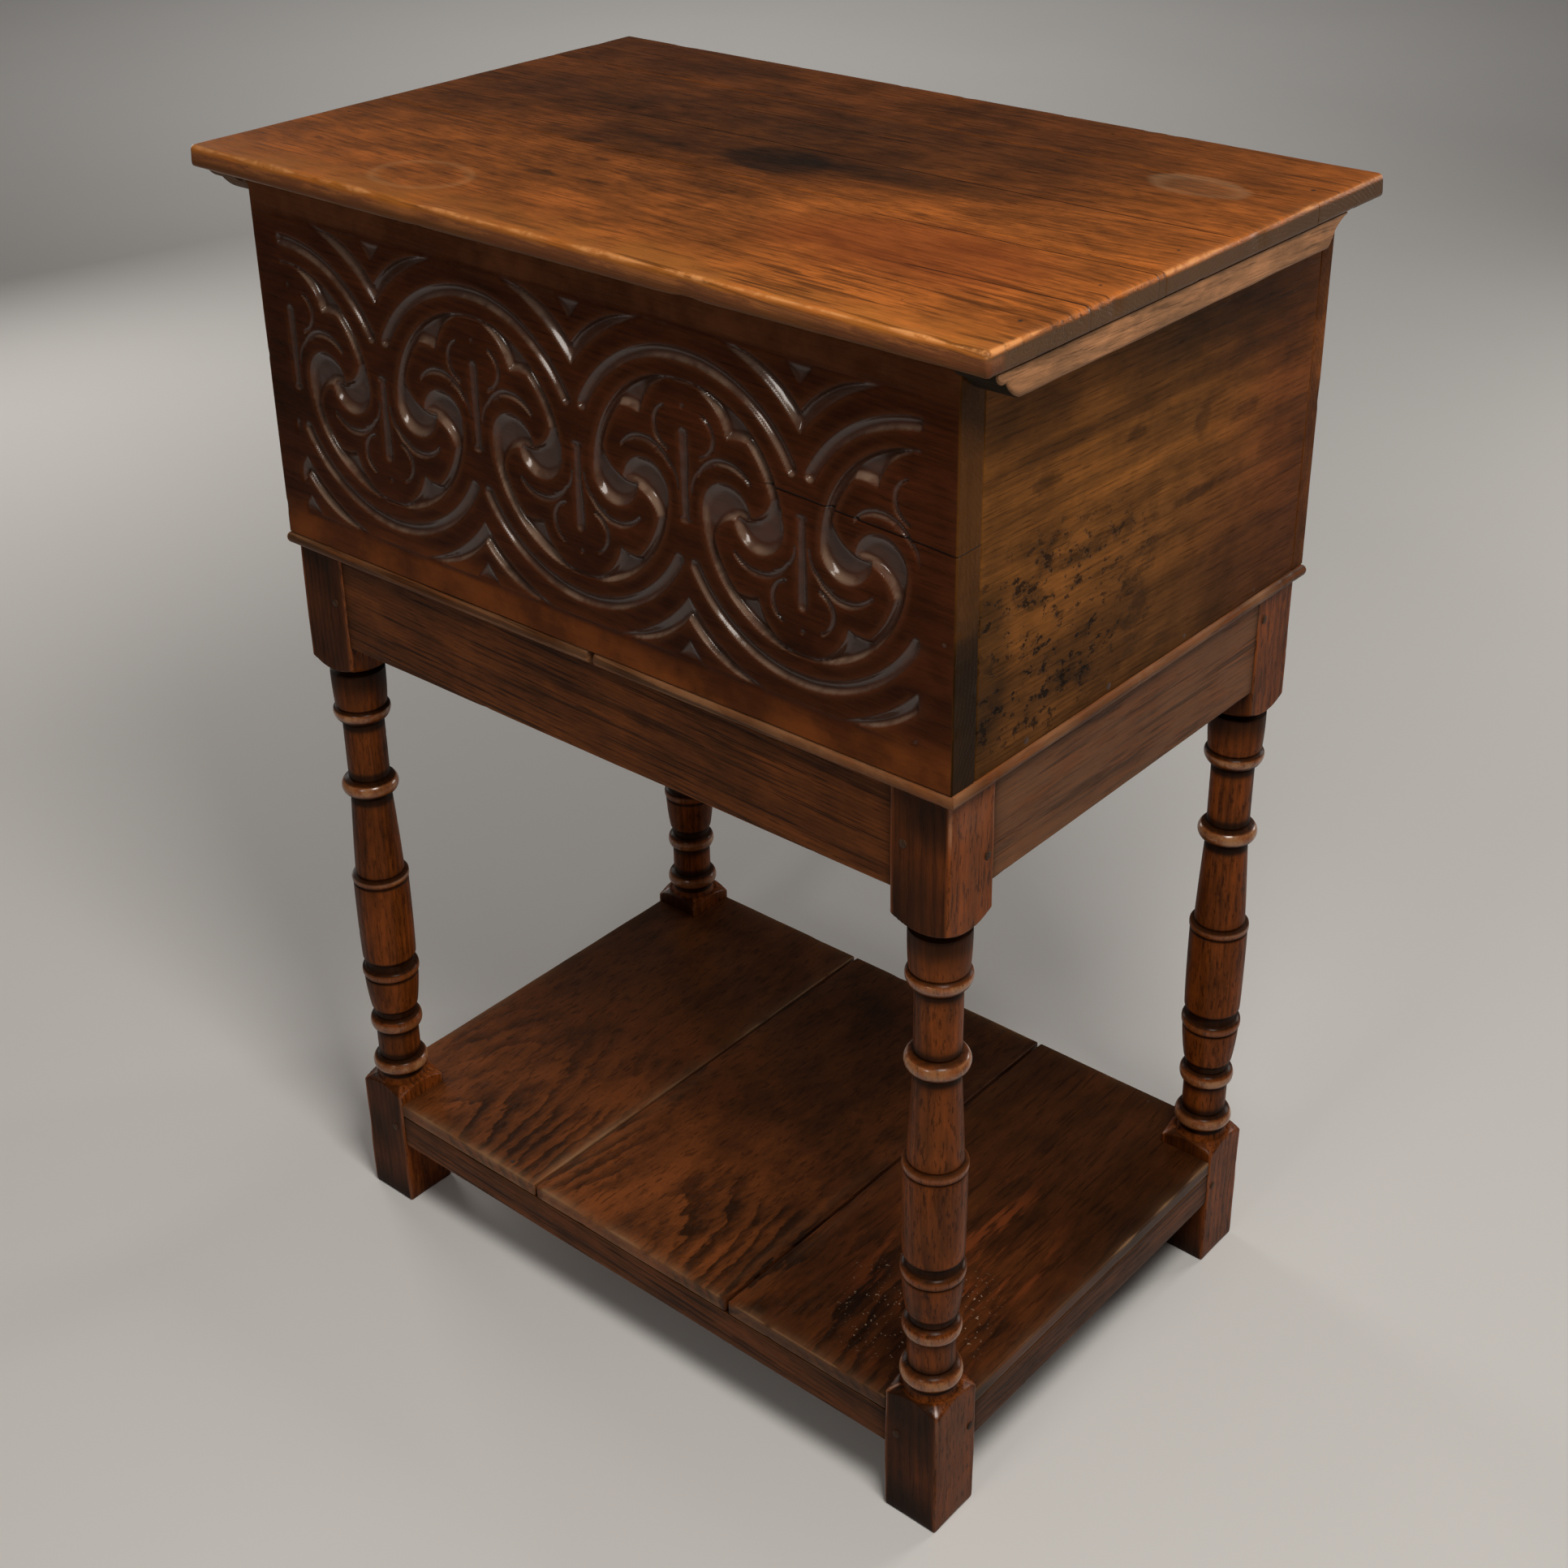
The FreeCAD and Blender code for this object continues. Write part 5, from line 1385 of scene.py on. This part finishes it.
        # wear on the blocks' corners and on the rings, kept to the rings' upper faces as a painted
        # highlight; the side towards the key light is painted lighter, as wear and as painted light
        at_arris = smooth(square / half, 1.32, 1.38) * in_block
        high_parts = smooth(crest, 0.9 * mm, 2.6 * mm)[:, None]
        high_parts = high_parts * (1 - 0.85 * facing_down[:, None])
        wear = np.maximum(at_arris * (0.45 + 0.30 * lumps), high_parts * (0.75 + 0.25 * lumps))
        towards = smooth(np.cos(turn_grid + math.pi / 3), 0.2, 0.9)
        lit_and_touched = np.where(in_block, 1.8 * smooth(np.cos(turn_grid), 0.6, 0.9), towards)
        wear = np.maximum(wear, rubbed * lit_and_touched * (0.6 + 0.4 * lumps))
        # dirt in the hollows and the fine lines, with painted shade there and on the rings' undersides;
        # dirt at the foot; painted shade below the upper block, on the blocks' fronts and on the legs away
        # from the light
        hollow = np.maximum(smooth(-crest, 0.3 * mm, 2.4 * mm), 0.85 * facing_down)[:, None]
        within = (zs > block_top + 3 * mm) & (zs < block_foot - 3 * mm)
        line = (0.85 * np.exp(-(from_line / (1.9 * mm)) ** 2) * within)[:, None]
        dirty_foot = 0.5 * np.exp(-zs / (14 * mm))[:, None]
        before = smooth(-np.sin(turn_grid), 0.55, 0.80)
        # painted shade on the blocks' front faces, which face away from the light, and below it the painted
        # shadow under the upper block and the shade on the dull legs
        painted_leg_shade = in_block * (0.03 + 0.85 * before) * (1 - 0.8 * at_arris) * (0.8 + 0.2 * lumps)
        under_block = 0.8 * smooth(zs, block_foot - 46 * mm, block_foot - 10 * mm) * is_turned
        painted_leg_shade = np.maximum(painted_leg_shade, np.maximum(under_block, dull * is_turned)[:, None])
        grime = np.clip(np.maximum(0.85 * hollow, line) + dirty_foot + painted_leg_shade, 0, 1)
        marks = {"wear": np.clip(wear, 0, 1).ravel(), "grime": grime.ravel(),
                 "log": in_log(points, along_z, heart, (0.012, -0.016), 30 + number)}
        make_piece("turned_post_" + corner, points, tube_faces(len(zs), len(turns)),
                   once("turned_leg_oak", turned_oak), ["leg_" + corner], stand_body, marks)


# Shelf

class BuildShelf(Operator):
    """Builds the three shelf boards, notched round the legs"""
    bl_idname = "bible_box.shelf"
    bl_label = "Shelf Boards"

    play = 0.5 * mm

    def execute(self, context):
        sizes = context.scene.bible_box_boards
        edge = sizes.shelf_arris
        leg_low, leg_high = node_box("leg_front_right")
        inner_x = leg_low[0] - self.play
        front_y = leg_high[1] + self.play
        back_y = node_box("leg_back_right")[0][1] - self.play
        boards = (("left", (0.02, 0.095), (0.02, 0.20), 51), ("middle", (-0.004, 0.10), (-0.03, 0.21), 52),
                  ("right", (0.075, 0.10), (0.02, 0.08), 53))

        def beside_legs(rows):
            """False for the cells of an outer board that a leg stands in."""
            middle_x = (rows[0][1:] + rows[0][:-1])[:, None] / 2
            middle_y = (rows[1][1:] + rows[1][:-1])[None, :] / 2
            return ~((np.abs(middle_x) > inner_x) & ((middle_y < front_y) | (middle_y > back_y)))

        for side, heart, lean, seed in boards:
            node = "shelf_board_" + side
            low, high = node_box(node)
            xs = places(low[0], high[0], edge, edge, 6 * mm)
            ys = places(low[1], high[1], edge, edge, 6 * mm)
            zs = places(low[2], high[2], edge, edge, 5 * mm)
            keep = None
            if side != "middle":
                inner = inner_x if side == "right" else -inner_x
                xs = np.unique(np.append(xs[np.abs(xs - inner) > 2 * mm], inner))
                kept = (np.abs(ys - front_y) > 2 * mm) & (np.abs(ys - back_y) > 2 * mm)
                ys = np.unique(np.append(ys[kept], (front_y, back_y)))
                keep = beside_legs
            points, faces, flat, _, marks = plank(low, high, edge, 6 * mm, seed, wander=sizes.wander,
                                                  keep=keep, rows=(xs, ys, zs), rub=1.8)
            near_legs = np.exp(-np.maximum(0, inner_x - 4 * mm - np.abs(flat[:, 0])) / (9 * mm))
            near_legs = near_legs * np.exp(-np.clip(flat[:, 1] - front_y, 0, 1) / (14 * mm))
            marks["grime"] = np.clip(marks["grime"] + 0.6 * near_legs, 0, 1)
            marks["log"] = in_log(flat, along_y, heart[::-1], lean[::-1], seed)
            # no bare edges where two boards meet
            if side != "left":
                marks["wear"] *= smooth(flat[:, 0], low[0] + 3 * mm, low[0] + 8 * mm)
            if side == "middle":
                marks["wear"] *= smooth(flat[:, 0], high[0] - 3 * mm, high[0] - 8 * mm)
            make_piece(f"shelf_plank_{side}", points, faces, once("figured_shelf_oak", shelf_oak), [node],
                       stand_body, marks)
        return {"FINISHED"}


# Pegs and nails

def stud(centre, axis, side, radius, proud, sink, sides, seed):
    """A short irregular round stud: points and faces. centre lies in the face that it stands out
    of, and side is 1 or -1, the way out along the axis."""
    levels = ((-sink, 0.97), (-0.02 * mm, 1.0), (proud * 0.55, 0.97), (proud * 0.85, 0.80), (proud, 0.42))
    turns = np.arange(sides) * 2 * math.pi / sides
    rim = 1 + 0.05 * noise(np.stack([turns, 0 * turns, 0 * turns + seed], 1), 1.1, seed)
    u, v = (axis + 1) % 3, (axis + 2) % 3
    points = []
    for rise, share in levels:
        ring = np.zeros((sides, 3))
        ring[:, axis] = centre[axis] + side * rise
        ring[:, u] = centre[u] + radius * share * rim * np.cos(turns)
        ring[:, v] = centre[v] + side * radius * share * rim * np.sin(turns)
        points.append(ring)
    return np.concatenate(points), tube_faces(len(levels), sides)


def stud_group(name, node, finish, body, radius, proud, sink, sides, back):
    """One piece with a stud at each rod of a CAD node, set back by a little from the rod's end."""
    middle = (np.array(cad_box[0]) + np.array(cad_box[1])) / 2
    all_points = []
    all_faces = []
    logs = []
    total = 0
    for number, (low, high) in enumerate(solids_of(node)):
        axis = int(np.argmax(high - low))
        centre = (low + high) / 2
        side = 1 if axis == along_z or centre[axis] > middle[axis] else -1
        centre[axis] = high[axis] - back if side > 0 else low[axis] + back
        points, faces = stud(centre, axis, side, radius, proud, sink, sides, number + 1)
        all_points.append(points)
        all_faces += [[total + corner for corner in face] for face in faces]
        logs.append(in_log(points, axis, (0.004, 0.006), (0, 0), number))
        total += len(points)
    marks = {"wear": np.zeros(total), "grime": np.full(total, 0.2), "log": np.concatenate(logs)}
    make_piece(name, np.concatenate(all_points), all_faces, finish, [node], body, marks)


class BuildPegs(Operator):
    """Builds the ends of the wooden pegs that lock the joints"""
    bl_idname = "bible_box.pegs"
    bl_label = "Pegs"

    def execute(self, context):
        finish = once("end_grain_peg_oak", peg_oak)
        for kind in ("apron", "stretcher"):
            stud_group(f"{kind}_peg_ends", f"{kind}_pegs", finish, stand_body,
                       radius=3.6 * mm, proud=1.0 * mm, sink=6 * mm, sides=11, back=1.0 * mm)
        return {"FINISHED"}


class BuildNails(Operator):
    """Builds the hand-forged nail heads"""
    bl_idname = "bible_box.nails"
    bl_label = "Nails"

    def execute(self, context):
        finish = once("rusted_nail_iron", nail_iron)
        groups = (("lid", "lid_cleat"), ("front", "box_front"), ("back", "box_back"),
                  ("side", "box_bottom"), ("shelf", "shelf"))
        for name, holder in groups:
            body, radius = (lid_body, 2.3 * mm) if name == "lid" else (stand_body, 3.0 * mm)
            stud_group(f"{name}_nail_heads", f"{holder}_nails", finish, body, radius,
                       proud=0.4 * mm, sink=5 * mm, sides=9, back=0.45 * mm)
        for node in ("moulding_brads", "hinge_box_nails", "hinge_lid_nails"):
            dress_node(node, finish)
        return {"FINISHED"}


def dress_node(node, finish):
    """Gives a CAD node that stays its finish."""
    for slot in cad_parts[node].material_slots:
        slot.material = finish


class DressHinges(Operator):
    """Gives the iron hinges and their pins a forged finish"""
    bl_idname = "bible_box.hinges"
    bl_label = "Hinges"

    def execute(self, context):
        finish = once("blackened_hinge_iron", hinge_iron)
        for side in ("left", "right"):
            for part in ("hinge_box_leaf_", "hinge_lid_leaf_", "hinge_pin_"):
                dress_node(part + side, finish)
        return {"FINISHED"}


# Stage

class BuildStage(Operator):
    """Sets the pale floor, the soft lights and the camera"""
    bl_idname = "bible_box.stage"
    bl_label = "Floor, Lights and Camera"

    sensor_width = 36.0
    frame_pixels = 1932.0
    centre_pixel_x = 990.76
    centre_pixel_y = 798.28
    floor_radius = 14.0

    def execute(self, context):
        stage = context.scene.bible_box_stage
        self.floor(context)
        self.lights(context, stage)
        self.camera(context, stage)
        context.scene.view_settings.view_transform = "Standard"
        return {"FINISHED"}

    def floor(self, context):
        """A wide pale disc with a faintly uneven finish."""
        work = bmesh.new()
        bmesh.ops.create_circle(work, cap_ends=True, segments=96, radius=self.floor_radius)
        mesh = bpy.data.meshes.new("pale_floor")
        work.to_mesh(mesh)
        work.free()
        floor = bpy.data.objects.new("pale_floor", mesh)
        context.scene.collection.objects.link(floor)
        f = Finish("pale_floor_paint")
        colour = context.scene.bible_box_tones.floor
        cloud = f.noise(f.object_place, 1.3, 3, 0.5)
        f.colour = f.mix(cloud, shade(colour, 0.97), shade(colour, 1.03))
        f.rough = f.total((cloud, 0.1), 0.6)
        f.height = f.noise(f.object_place, 700.0, 2, 0.5)
        f.coat = 0.0
        mesh.materials.append(close_finish(f, strength=0.05, shine=0.3))

    def lights(self, context, stage):
        """A key from the upper right, weaker lights in front, behind and on the left, and room light."""
        middle = (0, 0, 0.7)
        # each lamp's place, the place that it faces, its width, strength, colour and spread
        lamps = (
            ("key", (1.05, -0.62, 2.15), middle, 0.6, stage.key_light, (1.0, 0.96, 0.90), 180),
            ("fill", (0.30, -2.55, 1.95), middle, 0.5, stage.fill_light, (1.0, 0.95, 0.89), 180),
            ("floor", (-2.6, 2.6, 4.0), (-3.9, 4.4, 0), 2.4, stage.back_light, (1.0, 0.98, 0.95), 100),
            ("rear", (1.0, 3.1, 1.35), middle, 1.0, stage.rear_light, (1.0, 0.96, 0.91), 180),
            ("side", (-3.0, 0.75, 1.25), middle, 1.0, stage.side_light, (1.0, 0.96, 0.91), 180),
        )
        for name, place, target, size, strength, colour, spread in lamps:
            lamp = bpy.data.lights.new(f"{name}_softbox", "AREA")
            lamp.size = size
            lamp.spread = math.radians(spread)
            lamp.energy = strength
            lamp.color = colour
            holder = bpy.data.objects.new(lamp.name, lamp)
            context.scene.collection.objects.link(holder)
            holder.rotation_euler = (Vector(place) - Vector(target)).to_track_quat("Z", "Y").to_euler()
            holder.location = place
        world = bpy.data.worlds.new("studio_room")
        world.use_nodes = True
        glow = world.node_tree.nodes["Background"]
        glow.inputs["Color"].default_value = (0.95, 0.90, 0.85, 1)
        glow.inputs["Strength"].default_value = stage.room_light
        context.scene.world = world

    def camera(self, context, stage):
        """The camera at the photograph's viewing angle."""
        lens = bpy.data.cameras.new("view_camera")
        lens.sensor_width = self.sensor_width
        lens.lens = stage.lens
        lens.shift_x = 0.5 - self.centre_pixel_x / self.frame_pixels
        lens.shift_y = self.centre_pixel_y / self.frame_pixels - 0.5
        lens.dof.use_dof = False
        camera = bpy.data.objects.new("view_camera", lens)
        context.scene.collection.objects.link(camera)
        turn = Matrix.Rotation(stage.camera_turn, 4, "Z")
        tip = Matrix.Rotation(math.radians(90) - stage.camera_dip, 4, "X")
        roll = Matrix.Rotation(stage.camera_roll, 4, "Z")
        camera.matrix_world = Matrix.Translation(stage.camera_place) @ turn @ tip @ roll
        context.scene.camera = camera


class BibleBoxPanel(Panel):
    """Lists the pieces of the box, each with its button"""
    bl_idname = "VIEW3D_PT_bible_box"
    bl_label = "Bible Box on Stand"
    bl_space_type = "VIEW_3D"
    bl_region_type = "UI"
    bl_category = "Bible Box"

    def draw(self, context):
        for step in steps:
            self.layout.operator(step.bl_idname)
        for name, group in property_groups.items():
            box = self.layout.box()
            settings = getattr(context.scene, name)
            for key in group.__annotations__:
                box.prop(settings, key)


steps = (BuildStage, BuildLid, BuildCleats, BuildCarvedFront, BuildCase, BuildMouldings, BuildRails,
         BuildLegs, BuildShelf, BuildPegs, BuildNails, DressHinges)


def register():
    for group in property_groups.values():
        bpy.utils.register_class(group)
    for name, group in property_groups.items():
        setattr(bpy.types.Scene, name, PointerProperty(type=group))
    for step in steps:
        bpy.utils.register_class(step)
    bpy.utils.register_class(BibleBoxPanel)


def unregister():
    bpy.utils.unregister_class(BibleBoxPanel)
    for step in reversed(steps):
        bpy.utils.unregister_class(step)
    for name in property_groups:
        delattr(bpy.types.Scene, name)
    for group in property_groups.values():
        bpy.utils.unregister_class(group)


def main():
    """Builds every piece in order."""
    register()
    bpy.ops.bible_box.stage()
    bpy.ops.bible_box.lid()
    bpy.ops.bible_box.cleats()
    bpy.ops.bible_box.carved_front()
    bpy.ops.bible_box.case()
    bpy.ops.bible_box.mouldings()
    bpy.ops.bible_box.rails()
    bpy.ops.bible_box.legs()
    bpy.ops.bible_box.shelf()
    bpy.ops.bible_box.pegs()
    bpy.ops.bible_box.nails()
    bpy.ops.bible_box.hinges()


if __name__ == "__main__":
    main()
